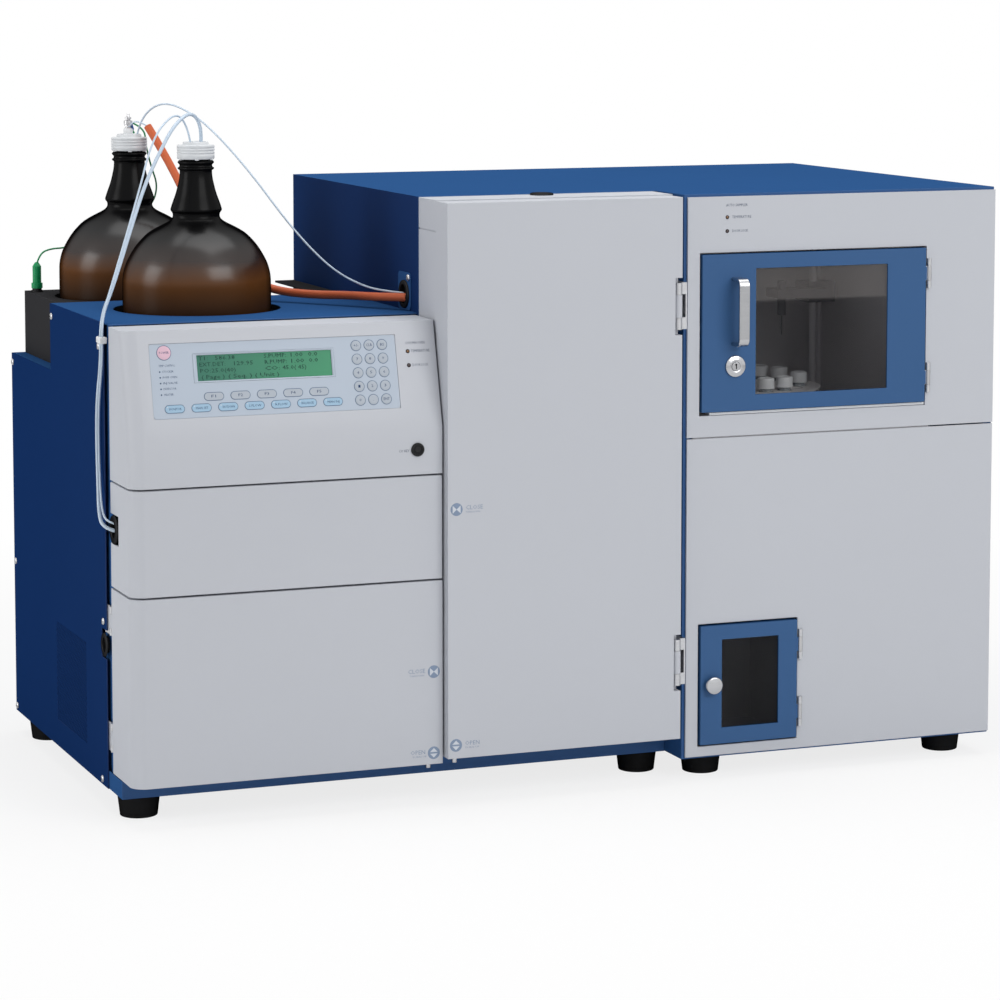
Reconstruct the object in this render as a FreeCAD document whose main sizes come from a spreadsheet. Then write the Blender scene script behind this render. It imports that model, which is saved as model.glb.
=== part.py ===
import FreeCAD, Part
import math
import os
import re
import Sketcher
from FreeCAD import Vector

# Bench gel permeation chromatograph: a pump module on the left, a column oven in the middle
# and an auto sampler on the right, with two solvent bottles standing on the pump module.
# Lengths are millimetres. X runs to the right along the front, Y runs from the front to the
# back and Z runs up from the bench. Every piece is drawn in one machine frame, whose corner is
# the left, front, bottom one, and is then moved so that the origin is the bottom centre.

SIZES = [
    # feet
    ("foot_height", 25.0), ("foot_top_radius", 23.0), ("foot_base_radius", 20.0),
    ("foot_inset", 27.0), ("foot_setback", 32.0), ("foot_recess", 4.0),
    # module widths
    ("left_width", 344.3), ("oven_width", 280.7), ("sampler_width", 383.6),
    # heights above the underside
    ("left_height", 498.9), ("step_height", 424.0), ("tall_height", 625.3), ("hood_drop", 2.3),
    # depths, measured from the front reference plane
    ("cover_front", 29.2), ("cover_depth", 82.6), ("side_gap", 18.6), ("step_front", 363.1),
    ("left_back", 552.5), ("tall_back", 547.2), ("base_front", 78.4), ("oven_case_front", 108.0),
    # sheet and moulded walls, gaps
    ("sheet", 1.5), ("cover_wall", 3.0), ("cover_inset", 1.0), ("cover_gap", 1.7),
    ("corner_radius", 16.0), ("groove", 2.0), ("clearance", 0.3), ("running_gap", 0.08),
    # control hood
    ("hood_height", 161.4), ("slant_drop", 110.8), ("slant_angle", 14.38),
    ("pad_left", 28.0), ("pad_width", 270.0), ("pad_down", 14.0), ("pad_length", 79.0),
    ("pad_depth", 1.2), ("film", 0.6), ("key_height", 0.5),
    ("display_left", 74.0), ("display_width", 154.4), ("display_down", 25.5),
    ("display_length", 31.0), ("display_depth", 14.0),
    ("key_pitch", 28.7), ("pill_width", 21.7), ("pill_length", 9.0),
    ("number_pitch", 14.55), ("number_radius", 5.9), ("power_radius", 7.9),
    # middle cover and pump door
    ("mid_cover_height", 111.4), ("pump_low", 21.0), ("notch_width", 31.0),
    ("notch_height", 31.0), ("notch_rise", 47.0),
    ("pump_hinge_low", 22.0), ("pump_hinge_drop", 51.3), ("pump_hinge_length", 31.0),
    ("pump_barrel", 2.1), ("door_wall", 2.5),
    # bottles
    ("bottle_x", 138.0), ("bottle_y", 252.0), ("rear_bottle_x", 117.0), ("rear_bottle_y", 452.0),
    ("bottle_radius", 81.3), ("bottle_wall", 3.0), ("bottle_neck_radius", 17.8),
    ("bottle_shoulder", 98.0), ("bottle_dome", 76.0),
    ("bottle_height", 248.0), ("well_radius", 91.5),
    ("tray_well_radius", 86.6), ("well_wall", 2.0), ("cap_radius", 20.7), ("cap_height", 15.5),
    ("tray_left", 15.3), ("tray_width", 202.0), ("tray_height", 72.5),
    # louvres of the left side panel
    ("louvre_left", 221.0), ("louvre_low", 33.0), ("louvre_pitch", 10.0), ("louvre_size", 4.2),
    # oven door and bezel
    ("door_left_gap", 0.3), ("door_right_gap", 8.4), ("oven_door_front", 18.0),
    ("oven_door_depth", 34.5), ("oven_door_low", 27.5), ("oven_door_height", 596.0),
    ("door_sheet", 1.5), ("seal_gap", 0.5), ("bezel_right_gap", 5.0), ("bezel_rail", 22.0),
    ("bezel_low", 25.5), ("bezel_split", 34.0), ("bezel_drop", 0.8),
    ("oven_notch_width", 8.1), ("oven_notch_depth", 12.0), ("oven_notch_length", 62.4),
    ("oven_hinge_low", 81.0), ("oven_hinge_high", 473.5), ("oven_barrel", 4.25),
    ("oven_hinge_length", 51.0), ("oven_hinge_inset", 2.8), ("pin_radius", 1.5), ("thin_pin", 0.9),
    # oven interior
    ("oven_inner_width", 190.0), ("oven_inner_height", 500.0), ("oven_inner_depth", 320.0),
    ("insulation", 30.0), ("oven_floor", 75.0), ("column_length", 330.0), ("column_radius", 6.5),
    ("column_pitch", 34.0), ("fan_radius", 52.0), ("fan_depth", 22.0),
    # sampler panels and openings
    ("panel_front", 30.7), ("panel_thick", 3.0), ("panel_inset", 3.6), ("panel_drop", 3.2),
    ("panel_seam", 357.4), ("seam_gap", 1.6), ("case_lip", 9.0),
    ("sampler_recess_left", 18.0), ("sampler_recess_width", 279.0),
    ("sampler_recess_low", 381.5), ("sampler_recess_height", 179.5),
    ("small_recess_left", 18.4), ("small_recess_width", 121.4),
    ("small_recess_low", 13.3), ("small_recess_height", 136.9),
    ("leaf_gap", 2.1), ("leaf_proud", 2.7), ("leaf_depth", 14.0), ("sampler_door_rise", 4.2),
    ("window_thick", 4.0), ("small_barrel", 2.5), ("small_hinge_length", 33.5),
    ("handle_width", 12.2), ("handle_length", 75.4), ("handle_reach", 22.5),
    ("handle_bar", 4.0), ("lock_radius", 12.1), ("plug_radius", 5.0), ("knob_radius", 9.7),
    # sampler interior
    ("chamber_depth", 290.0), ("chamber_wall", 1.2), ("chamber_drop", 36.0),
    ("carousel_x", 151.0), ("carousel_y", 206.0), ("carousel_radius", 92.0),
    ("vial_ring", 67.0), ("vial_radius", 9.0), ("vial_cap_radius", 10.0), ("vial_height", 38.0),
    ("carousel_rise", 32.0), ("plate", 2.0), ("needle_stroke", 36.0),
    # small fittings
    ("screw_head", 2.0), ("screw_radius", 3.8), ("clip_reach", 8.0), ("inlet_flange", 3.0),
    ("latch_radius", 2.8), ("latch_travel", 4.0), ("lamp_radius", 2.1),
    # tubes and wire
    ("thick_tube", 4.0), ("thin_tube", 2.2), ("hose", 9.4), ("wire", 2.0),
]

doc = FreeCAD.newDocument("Chromatograph")
sheet = doc.addObject("Spreadsheet::Sheet", "Sizes")
size = {}
for row, (alias, value) in enumerate(SIZES, start=1):
    sheet.set(f"A{row}", alias)
    sheet.set(f"B{row}", str(value))
    sheet.setAlias(f"B{row}", alias)
    size[alias] = value
doc.recompute()

# places that several pieces share, as expressions in the sheet's sizes
OVEN_X = "left_width"
SAMPLER_X = "(left_width + oven_width)"
RIGHT_X = "(left_width + oven_width + sampler_width)"
BASE_Z = "foot_height"
LEFT_TOP = "(foot_height + left_height)"
STEP_TOP = "(foot_height + step_height)"
TALL_TOP = "(foot_height + tall_height)"
COVER_LEFT = "cover_inset"
COVER_RIGHT = "(left_width - cover_gap)"
COVER_BACK = "(cover_front + cover_depth)"
SIDE_FRONT = "(cover_front + cover_depth + side_gap)"
HOOD_TOP = "(foot_height + left_height - hood_drop)"
HOOD_LOW = "(foot_height + left_height - hood_drop - hood_height)"
MID_TOP = "(foot_height + left_height - hood_drop - hood_height - groove)"
MID_LOW = "(foot_height + left_height - hood_drop - hood_height - groove - mid_cover_height)"
PUMP_TOP = ("(foot_height + left_height - hood_drop - hood_height"
            " - groove - mid_cover_height - groove)")
PUMP_LOW = "(foot_height + pump_low)"
SLANT_BACK = "(cover_front + slant_drop * tan(slant_angle))"
DOOR_LEFT = "(left_width + door_left_gap)"
DOOR_RIGHT = "(left_width + oven_width - door_right_gap)"
DOOR_BACK = "(oven_door_front + oven_door_depth)"
DOOR_LOW = "(foot_height + oven_door_low)"
DOOR_TOP = "(foot_height + oven_door_low + oven_door_height)"
BEZEL_FRONT = "(oven_door_front + oven_door_depth + seal_gap)"
BEZEL_TOP = "(foot_height + tall_height - bezel_drop)"
CASE_FRONT = "(panel_front + panel_thick)"
PANEL_LEFT = "(left_width + oven_width + panel_inset)"
PANEL_TOP = "(foot_height + tall_height - panel_drop)"
PANEL_LOW = "(foot_height + 2)"
SEAM = "(foot_height + panel_seam)"
ORIGIN_X = "((left_width + oven_width + sampler_width - clip_reach) / 2)"
ORIGIN_Y = "((panel_front - leaf_proud - handle_reach + left_back + inlet_flange) / 2)"

FUNCTIONS = ("sin", "cos", "tan", "sqrt", "atan")
AXES = {"X": FreeCAD.Rotation(Vector(0, 1, 0), 90),
        "Y": FreeCAD.Rotation(Vector(1, 0, 0), -90),
        "Z": FreeCAD.Rotation()}
pieces = []


def bound(text):
    """The expression with every size read from the sheet."""
    return re.sub(r"[a-z_]+", lambda m: m.group() if m.group() in FUNCTIONS
                  else "Sizes." + m.group(), text)


def bind(thing, prop, text):
    thing.setExpression(prop, bound(str(text)))


def place(thing, x, y, z):
    for axis, text in zip("xyz", (x, y, z)):
        bind(thing, "Placement.Base." + axis, text)


def box(name, x0, x1, y0, y1, z0, z1):
    """A block between six planes."""
    block = doc.addObject("Part::Box", name)
    bind(block, "Length", f"({x1}) - ({x0})")
    bind(block, "Width", f"({y1}) - ({y0})")
    bind(block, "Height", f"({z1}) - ({z0})")
    place(block, x0, y0, z0)
    return block


def rod(name, axis, radius, x, y, z, length):
    """A cylinder that starts at a point and runs along an axis."""
    turned = doc.addObject("Part::Cylinder", name)
    turned.Placement = FreeCAD.Placement(Vector(), AXES[axis])
    bind(turned, "Radius", radius)
    bind(turned, "Height", length)
    place(turned, x, y, z)
    return turned


def cone(name, axis, low_radius, high_radius, x, y, z, length):
    turned = doc.addObject("Part::Cone", name)
    turned.Placement = FreeCAD.Placement(Vector(), AXES[axis])
    bind(turned, "Radius1", low_radius)
    bind(turned, "Radius2", high_radius)
    bind(turned, "Height", length)
    place(turned, x, y, z)
    return turned


def ring(name, axis, outer, inner, x, y, z, length):
    tube = doc.addObject("Part::Cut", name)
    tube.Base = rod(name + "_outer", axis, outer, x, y, z, length)
    tube.Tool = rod(name + "_inner", axis, inner, x, y, z, length)
    return tube


def join(name, *parts):
    joined = doc.addObject("Part::MultiFuse", name)
    joined.Shapes = list(parts)
    joined.Refine = True
    return joined


def cut(name, base, *tools):
    left = doc.addObject("Part::Cut", name)
    left.Base = base
    left.Tool = tools[0] if len(tools) == 1 else join(name + "_tools", *tools)
    return left


def common(name, *parts):
    shared = doc.addObject("Part::MultiCommon", name)
    shared.Shapes = list(parts)
    return shared


def group(name, *parts):
    """Separate solids that share one node."""
    held = doc.addObject("Part::Compound", name)
    held.Links = list(parts)
    return held


def piece(label, thing):
    """Gives a finished sub-part its name and moves it to the part's own frame."""
    if any("Placement" in entry[0] for entry in thing.ExpressionEngine):
        thing = group(label + "_whole", thing)
    thing.Label = label
    place(thing, f"-{ORIGIN_X}", f"-{ORIGIN_Y}", "0")
    pieces.append(thing)
    return thing


def value(name, unit=1.0):
    return size[name] * unit


def shape_piece(label, shape):
    thing = doc.addObject("Part::Feature", label)
    thing.Shape = shape
    return piece(label, thing)


def shell(name, x0, x1, y0, y1, z0, z1, wall, open_side):
    """A folded box of one wall thickness, open at its back, its front or both."""
    outer = box(name + "_outer", x0, x1, y0, y1, z0, z1)
    start, end = f"({y0}) + {wall}", f"({y1}) - {wall}"
    if open_side in ("back", "both"):
        end = f"({y1}) + 1"
    if open_side in ("front", "both"):
        start = f"({y0}) - 1"
    inner = box(name + "_inner", f"({x0}) + {wall}", f"({x1}) - {wall}", start, end,
                f"({z0}) + {wall}", f"({z1}) - {wall}")
    return cut(name, outer, inner)


def round_block(name, x0, x1, y0, y1, z0, z1, radius):
    """A block whose upright edge at the left front is rounded."""
    return join(name,
                box(name + "_wide", f"({x0}) + {radius}", x1, y0, y1, z0, z1),
                box(name + "_deep", x0, x1, f"({y0}) + {radius}", y1, z0, z1),
                rod(name + "_round", "Z", radius, f"({x0}) + {radius}",
                    f"({y0}) + {radius}", z0, f"({z1}) - ({z0})"))


def prism(label, corners, thickness, first):
    """A body with a profile in the YZ plane, padded along X from a first plane."""
    body = doc.addObject("PartDesign::Body", label)
    plane = next(f for f in body.Origin.OriginFeatures if f.Role == "YZ_Plane")
    sketch = body.newObject("Sketcher::SketchObject", label + "_profile")
    sketch.AttachmentSupport = [(plane, "")]
    sketch.MapMode = "FlatFace"
    rough = [(40.0 * math.cos(-k), 40.0 * math.sin(-k)) for k in range(len(corners))]
    for k, (u, v) in enumerate(rough):
        after = rough[(k + 1) % len(rough)]
        sketch.addGeometry(Part.LineSegment(Vector(u, v, 0), Vector(after[0], after[1], 0)))
    for k in range(len(corners)):
        sketch.addConstraint(Sketcher.Constraint("Coincident", k, 2, (k + 1) % len(corners), 1))
    for k, (u, v) in enumerate(corners):
        for kind, text in (("DistanceX", u), ("DistanceY", v)):
            index = sketch.addConstraint(Sketcher.Constraint(kind, -1, 1, k, 1, 1.0))
            sketch.setExpression(f"Constraints[{index}]", bound(str(text)))
    pad = body.newObject("PartDesign::Pad", label + "_pad")
    pad.Profile = sketch
    bind(pad, "Length", thickness)
    bind(body, "Placement.Base.x", first)
    return body


def slant_place(thing, x, down, deep):
    """Turns a thing to the hood's slanted face: down the face, and deep behind it."""
    thing.Placement = FreeCAD.Placement(Vector(), FreeCAD.Rotation(Vector(-1, 0, 0), 10))
    bind(thing, "Placement.Rotation.Angle", "slant_angle")
    place(thing, x,
          f"{SLANT_BACK} - ({down}) * sin(slant_angle) + ({deep}) * cos(slant_angle)",
          f"{HOOD_TOP} - ({down}) * cos(slant_angle) - ({deep}) * sin(slant_angle)")


def slant_box(name, x, width, down, length, deep, depth):
    """A block on the slanted face, whose top edge is so far down it."""
    block = doc.addObject("Part::Box", name)
    bind(block, "Length", width)
    bind(block, "Width", depth)
    bind(block, "Height", length)
    slant_place(block, x, f"({down}) + ({length})", deep)
    return block


def slant_rod(name, radius, x, down, deep, depth):
    """A disc on the slanted face, its axis square to the face."""
    disc = doc.addObject("Part::Cylinder", name)
    bind(disc, "Radius", radius)
    bind(disc, "Height", depth)
    disc.Placement = FreeCAD.Placement(Vector(), FreeCAD.Rotation(Vector(-1, 0, 0), 90))
    bind(disc, "Placement.Rotation.Angle", "90 + slant_angle")
    place(disc, x,
          f"{SLANT_BACK} - ({down}) * sin(slant_angle) + ({deep}) * cos(slant_angle)",
          f"{HOOD_TOP} - ({down}) * cos(slant_angle) - ({deep}) * sin(slant_angle)")
    return disc


def hinge(name, x, y, z, length, barrel, pin):
    """Two fixed knuckles with the pin pressed through them, and the moving knuckle."""
    quarter = f"(({length}) / 4)"
    fixed = [rod(name + "_low", "Z", barrel, x, y, z, quarter),
             rod(name + "_high", "Z", barrel, x, y, f"({z}) + 3 * {quarter}", quarter),
             rod(name + "_pin", "Z", pin, x, y, z, length)]
    moving = ring(name + "_knuckle", "Z", barrel, f"{pin} + running_gap", x, y,
                  f"({z}) + {quarter} + clearance", f"{quarter} * 2 - 2 * clearance")
    return fixed, moving


def plate(name, axis, a0, a1, b0, b1, c0, c1, radius):
    """A flat plate with rounded corners: a is its thickness, b and c its two spans."""
    def block(suffix, gap_b, gap_c):
        spans = {"X": (a0, a1, f"({b0}) + {gap_b}", f"({b1}) - {gap_b}",
                       f"({c0}) + {gap_c}", f"({c1}) - {gap_c}"),
                 "Y": (f"({b0}) + {gap_b}", f"({b1}) - {gap_b}", a0, a1,
                       f"({c0}) + {gap_c}", f"({c1}) - {gap_c}")}
        return box(name + suffix, *spans[axis])
    parts = [block("_wide", 0, radius), block("_tall", radius, 0)]
    for k, (b, c) in enumerate(((f"({b0}) + {radius}", f"({c0}) + {radius}"),
                                (f"({b1}) - {radius}", f"({c0}) + {radius}"),
                                (f"({b0}) + {radius}", f"({c1}) - {radius}"),
                                (f"({b1}) - {radius}", f"({c1}) - {radius}"))):
        at = (a0, b, c) if axis == "X" else (b, a0, c)
        parts.append(rod(f"{name}_corner{k}", axis, radius, *at, f"({a1}) - ({a0})"))
    return join(name, *parts)


# feet: the pump module's base carries four, the sampler four
FEET = [("foot_inset + 1", "base_front + foot_setback"),
        (f"{SAMPLER_X} - 21", "base_front + foot_setback"),
        ("foot_inset + 1", "left_back - 47"), (f"{SAMPLER_X} - 21", "left_back - 47"),
        (f"{SAMPLER_X} + 44", f"{CASE_FRONT} + 46"), (f"{RIGHT_X} - 36", f"{CASE_FRONT} + 46"),
        (f"{SAMPLER_X} + 44", "left_back - 42"), (f"{RIGHT_X} - 36", "left_back - 42")]
feet = []
for k, (fx, fy) in enumerate(FEET):
    body = cone(f"foot{k}", "Z", "foot_base_radius", "foot_top_radius", fx, fy, "0",
                "foot_height")
    hollow = rod(f"foot{k}_recess", "Z", "foot_base_radius / 2", fx, fy, "0", "foot_recess")
    feet.append(cut(f"foot{k}_turned", body, hollow))
piece("feet", group("feet_group", *feet))

# pump module base: a folded pan that also runs under the oven
pan_top = f"({PUMP_LOW} - 1.5)"
piece("base_pan", join(
    "base_folds",
    box("base_floor", "sheet", SAMPLER_X, "base_front", "left_back", BASE_Z,
        f"{BASE_Z} + sheet"),
    box("base_front_left", "sheet", "left_width", "base_front", "base_front + sheet", BASE_Z,
        pan_top),
    box("base_front_oven", "left_width", SAMPLER_X, "base_front", "base_front + sheet", BASE_Z,
        f"{BASE_Z} + bezel_low"),
    box("base_side", "sheet", "2 * sheet", "base_front", "left_back - sheet", BASE_Z, pan_top)))

# left side panel: stepped sheet with a field of louvre holes and a notch for the tube grommet
SIDE_SCREWS = [(546.0, 413.6), (543.1, 179.2), (545.0, 6.7), (355.0, "left_height - 14"),
               (148.9, "left_height - 26.3"), (141.3, 179.1), (151.3, 6.0)]
side = prism("side_sheet", [(SIDE_FRONT, BASE_Z), (SIDE_FRONT, LEFT_TOP),
                            ("step_front", LEFT_TOP), ("step_front", STEP_TOP),
                            ("left_back", STEP_TOP), ("left_back", BASE_Z)], "sheet", "0")
holes = []
for column in range(13):
    for row in range(11):
        hole = Part.makeBox(10, value("louvre_size"), value("louvre_size"))
        hole.rotate(Vector(), Vector(1, 0, 0), 45)
        hole.translate(Vector(-4, value("louvre_left") + column * value("louvre_pitch")
                              + (row % 2) * value("louvre_pitch") / 2,
                              value("foot_height") + value("louvre_low")
                              + row * value("louvre_pitch")))
        holes.append(hole)
louvres = doc.addObject("Part::Feature", "louvres")
louvres.Shape = Part.makeCompound(holes)
screw_holes = [rod(f"side_screw_hole{k}", "X", "screw_radius / 2 + 0.1", "-1", y,
                   f"{BASE_Z} + {z}", "4") for k, (y, z) in enumerate(SIDE_SCREWS)]
notch = box("side_notch", "-1", "4", f"{SIDE_FRONT} - 1", f"{SIDE_FRONT} + 19.6",
            f"{BASE_Z} + 140", f"{BASE_Z} + 171")
piece("left_side_panel", cut("side_cut", cut("side_louvred", side, louvres), notch,
                             *screw_holes))

# top sheet of the pump module, folded down to the lower shelf behind it
inner_edge = "(step_front - sheet)"
top = prism("top_fold", [(COVER_BACK, f"{LEFT_TOP} - sheet"), (COVER_BACK, LEFT_TOP),
                         ("step_front", LEFT_TOP), ("step_front", STEP_TOP),
                         ("left_back", STEP_TOP), ("left_back", f"{STEP_TOP} - sheet"),
                         (inner_edge, f"{STEP_TOP} - sheet"),
                         (inner_edge, f"{LEFT_TOP} - sheet")],
            "left_width - sheet", "sheet")
piece("left_top_cover", cut("top_opened", top, rod(
    "top_hole", "Z", "well_radius", "bottle_x", "bottle_y", f"{LEFT_TOP} - 5", "10")))

# chassis of the pump module: two walls, a shelf and the rails that the covers fix to
WALL_FRONT = f"({COVER_BACK} + 0.5)"
rail_right = f"({COVER_RIGHT} - cover_wall)"


def chassis_wall(name, first):
    return prism(name, [(WALL_FRONT, f"{BASE_Z} + sheet"), (WALL_FRONT, f"{LEFT_TOP} - sheet"),
                        (inner_edge, f"{LEFT_TOP} - sheet"), (inner_edge, f"{STEP_TOP} - sheet"),
                        ("left_back - sheet", f"{STEP_TOP} - sheet"),
                        ("left_back - sheet", f"{BASE_Z} + sheet")], "sheet", first)


frame = join(
    "chassis", chassis_wall("chassis_left", "3 * sheet"),
    chassis_wall("chassis_right", "left_width - 6.3"),
    box("chassis_shelf", "4 * sheet", "left_width - 6", WALL_FRONT, "left_back - 12",
        f"{BASE_Z} + 218", f"{BASE_Z} + 218 + sheet"),
    box("hood_rail", f"{COVER_LEFT} + cover_wall", rail_right, f"{COVER_BACK} - 12",
        f"{WALL_FRONT} + 10", f"{HOOD_TOP} - cover_wall - 14", f"{HOOD_TOP} - cover_wall"),
    box("mid_rail_high", f"{COVER_LEFT} + cover_wall", rail_right, f"{COVER_BACK} - 12",
        f"{WALL_FRONT} + 10", f"{MID_TOP} - cover_wall - 10", f"{MID_TOP} - cover_wall"),
    box("mid_rail_low", f"{COVER_LEFT} + cover_wall", rail_right, f"{COVER_BACK} - 12",
        f"{WALL_FRONT} + 10", f"{MID_LOW} + cover_wall", f"{MID_LOW} + cover_wall + 10"),
    box("chassis_back", "4 * sheet", "left_width - 6", "left_back - 3 * sheet",
        "left_back - sheet", f"{STEP_TOP} - 20", f"{STEP_TOP} - sheet"))
piece("left_frame", cut("chassis_bored", frame, box(
    "tube_gap", "0", "12", f"{COVER_BACK} - 34", f"{COVER_BACK} + 1",
    f"{MID_LOW} + notch_rise - 1", f"{MID_LOW} + notch_rise + notch_height + 1")))

# round well that the front bottle stands in, hung from the top sheet
BOTTLE_Z = f"({STEP_TOP} + 3)"
piece("bottle_well", cut(
    "well_hollow",
    join("well_solid",
         rod("well_cup", "Z", "well_radius + well_wall", "bottle_x", "bottle_y",
             f"{BOTTLE_Z} - well_wall", f"{LEFT_TOP} - sheet - {BOTTLE_Z} + well_wall"),
         rod("well_flange", "Z", "well_radius + 6", "bottle_x", "bottle_y",
             f"{LEFT_TOP} - sheet - 1.6", "1.6")),
    rod("well_bore", "Z", "well_radius", "bottle_x", "bottle_y", BOTTLE_Z, "200")))

# moulded tray for the rear bottle, open underneath, on the lower shelf
tray_right = "(tray_left + tray_width)"
tray_back = "(left_back - 4.5)"
tray_top = f"({STEP_TOP} + tray_height)"
tray = cut(
    "tray_hollow", box("tray_block", "tray_left", tray_right, "step_front", tray_back, STEP_TOP,
                       tray_top),
    cut("tray_cavity", box("tray_inside", "tray_left + 2.5", f"{tray_right} - 2.5",
                           "step_front + 2.5", f"{tray_back} - 2.5", f"{STEP_TOP} - 1",
                           f"{tray_top} - 2.5"),
        rod("tray_core", "Z", "tray_well_radius + 2.5", "rear_bottle_x", "rear_bottle_y",
            f"{STEP_TOP} - 2", "200")),
    rod("tray_bore", "Z", "tray_well_radius", "rear_bottle_x", "rear_bottle_y", BOTTLE_Z,
        "200"))
piece("rear_bottle_tray", tray)

# rear sheets with the power inlet's opening and the vent slots
INLET_X, INLET_Z = 92.0, 70.0
slots = [box(f"left_vent{k}", "200", "300", "left_back - 5", "left_back + 5",
             f"{BASE_Z} + 90 + 12 * {k}", f"{BASE_Z} + 95 + 12 * {k}") for k in range(12)]
inlet_hole = box("inlet_hole", f"{INLET_X} - 13", f"{INLET_X} + 13", "left_back - 5",
                 "left_back + 5", f"{BASE_Z} + {INLET_Z} - 32", f"{BASE_Z} + {INLET_Z} + 32")
rear_left = cut("rear_left", box("rear_left_sheet", "sheet", "left_width", "left_back - sheet",
                                 "left_back", f"{BASE_Z} + sheet", f"{STEP_TOP} - sheet"),
                inlet_hole, *slots)
oven_slots = [box(f"oven_vent{k}", "left_width + 80", "left_width + 200", "tall_back - 5",
                  "tall_back + 5", f"{BASE_Z} + 260 + 14 * {k}", f"{BASE_Z} + 266 + 14 * {k}")
              for k in range(10)]
rear_main = cut("rear_main", box("rear_main_sheet", "left_width", RIGHT_X, "tall_back - sheet",
                                 "tall_back", f"{BASE_Z} + sheet", TALL_TOP), *oven_slots)
piece("rear_panels", group("rear_group", rear_left, rear_main))

# control hood: moulded shell with a sloping face for the keypad and the display
wall_cos = "cover_wall * cos(slant_angle)"
wall_sin = "cover_wall * sin(slant_angle)"
hood_outer = prism("hood_outer", [
    ("cover_front", HOOD_LOW), ("cover_front", f"{HOOD_TOP} - slant_drop"),
    (SLANT_BACK, HOOD_TOP), (COVER_BACK, HOOD_TOP), (COVER_BACK, HOOD_LOW)],
    f"{COVER_RIGHT} - {COVER_LEFT}", COVER_LEFT)
hood_inner = prism("hood_inner", [
    ("cover_front + cover_wall", f"{HOOD_LOW} + cover_wall"),
    ("cover_front + cover_wall",
     f"{HOOD_TOP} - slant_drop - {wall_sin} + (cover_wall - {wall_cos}) / tan(slant_angle)"),
    (f"cover_front + {wall_cos} + (slant_drop - cover_wall + {wall_sin}) * tan(slant_angle)",
     f"{HOOD_TOP} - cover_wall"),
    (f"{COVER_BACK} + 1", f"{HOOD_TOP} - cover_wall"),
    (f"{COVER_BACK} + 1", f"{HOOD_LOW} + cover_wall")],
    f"{COVER_RIGHT} - {COVER_LEFT} - 2 * cover_wall", f"{COVER_LEFT} + cover_wall")


def corner_cutters(name, inset):
    """What rounds the hood's left front corner, upright below and sloping above."""
    radius = f"(corner_radius - {inset})"
    bend = f"({HOOD_TOP} - slant_drop)"
    slope = "(slant_drop / cos(slant_angle))"
    upright = cut(
        name + "_upright",
        box(name + "_upright_block", f"{COVER_LEFT} + {inset} - 1",
            f"{COVER_LEFT} + corner_radius", f"cover_front + {inset} - 1",
            "cover_front + corner_radius", f"{HOOD_LOW} - 1", f"{bend} + 1"),
        rod(name + "_upright_round", "Z", radius, f"{COVER_LEFT} + corner_radius",
            "cover_front + corner_radius", f"{HOOD_LOW} - 2", f"{bend} + 4 - {HOOD_LOW}"))
    sloping_round = doc.addObject("Part::Cylinder", name + "_sloping_round")
    bind(sloping_round, "Radius", radius)
    bind(sloping_round, "Height", f"{slope} + 60")
    slant_place(sloping_round, f"{COVER_LEFT} + corner_radius", f"{slope} + 20",
                "corner_radius")
    sloping = cut(name + "_sloping",
                  slant_box(name + "_sloping_block", f"{COVER_LEFT} + {inset} - 1",
                            f"{radius} + 1", "-20", f"{slope} + 22", f"{inset} - 1",
                            f"{radius} + 1"), sloping_round)
    return upright, sloping


hood_shell = cut("hood_shell", cut("hood_rounded", hood_outer, *corner_cutters("outer", "0")),
                 cut("hood_room", hood_inner, *corner_cutters("inner", "cover_wall")))
LAMP_X = "(pad_left + pad_width + 13)"
SOCKET_X = f"({COVER_RIGHT} - 28)"
SOCKET_Z = f"({HOOD_LOW} + 26.7)"
hood = cut(
    "hood_opened", hood_shell,
    slant_box("pad_recess", "pad_left", "pad_width", "pad_down", "pad_length", "-1",
              "pad_depth + 1"),
    slant_box("display_opening", "display_left", "display_width", "display_down",
              "display_length", "-1", "10"),
    slant_rod("lamp_hole_high", "lamp_radius + 0.1", LAMP_X, "32.7", "-1", "10"),
    slant_rod("lamp_hole_low", "lamp_radius + 0.1", LAMP_X, "47.7", "-1", "10"),
    rod("socket_hole", "Y", "6", SOCKET_X, "cover_front - 1", SOCKET_Z, "10"))
piece("control_hood", hood)

# keypad film with raised keys, stuck in the hood's recess
film_deep = "(pad_depth - film)"
film = cut("film_sheet", slant_box("film_blank", "pad_left + 0.2", "pad_width - 0.4",
                                   "pad_down + 0.2", "pad_length - 0.4", film_deep, "film"),
           slant_box("film_window", "display_left", "display_width", "display_down",
                     "display_length", "-1", "10"))
keys = [slant_rod("power_key", "power_radius", "pad_left + 15.9", "23.6", f"{film_deep} - key_height",
                  "key_height")]


def pill(name, x, down, length):
    """A key with round ends."""
    half = f"(({length}) / 2)"
    deep = f"{film_deep} - key_height"
    return join(name,
                slant_box(name + "_bar", f"({x}) - pill_width / 2 + {half}",
                          f"pill_width - 2 * {half}", f"({down}) - {half}", f"2 * {half}", deep,
                          "key_height"),
                slant_rod(name + "_left", half, f"({x}) - pill_width / 2 + {half}", down, deep,
                          "key_height"),
                slant_rod(name + "_right", half, f"({x}) + pill_width / 2 - {half}", down, deep,
                          "key_height"))


for k in range(7):
    keys.append(pill(f"menu_key{k}", f"pad_left + 23.1 + key_pitch * {k}", "82.7", "pill_length"))
for k in range(5):
    keys.append(pill(f"function_key{k}", f"pad_left + 66.1 + key_pitch * {k}", "71.2", "pill_length"))
for column in range(3):
    for row in range(5):
        keys.append(slant_rod(f"number_key{column}{row}", "number_radius",
                              f"pad_left + pad_width - 44.3 + number_pitch * {column}",
                              f"24.3 + number_pitch * {row}",
                              f"{film_deep} - key_height", "key_height"))
piece("keypad_overlay", join("film_keys", film, *keys))

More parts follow.
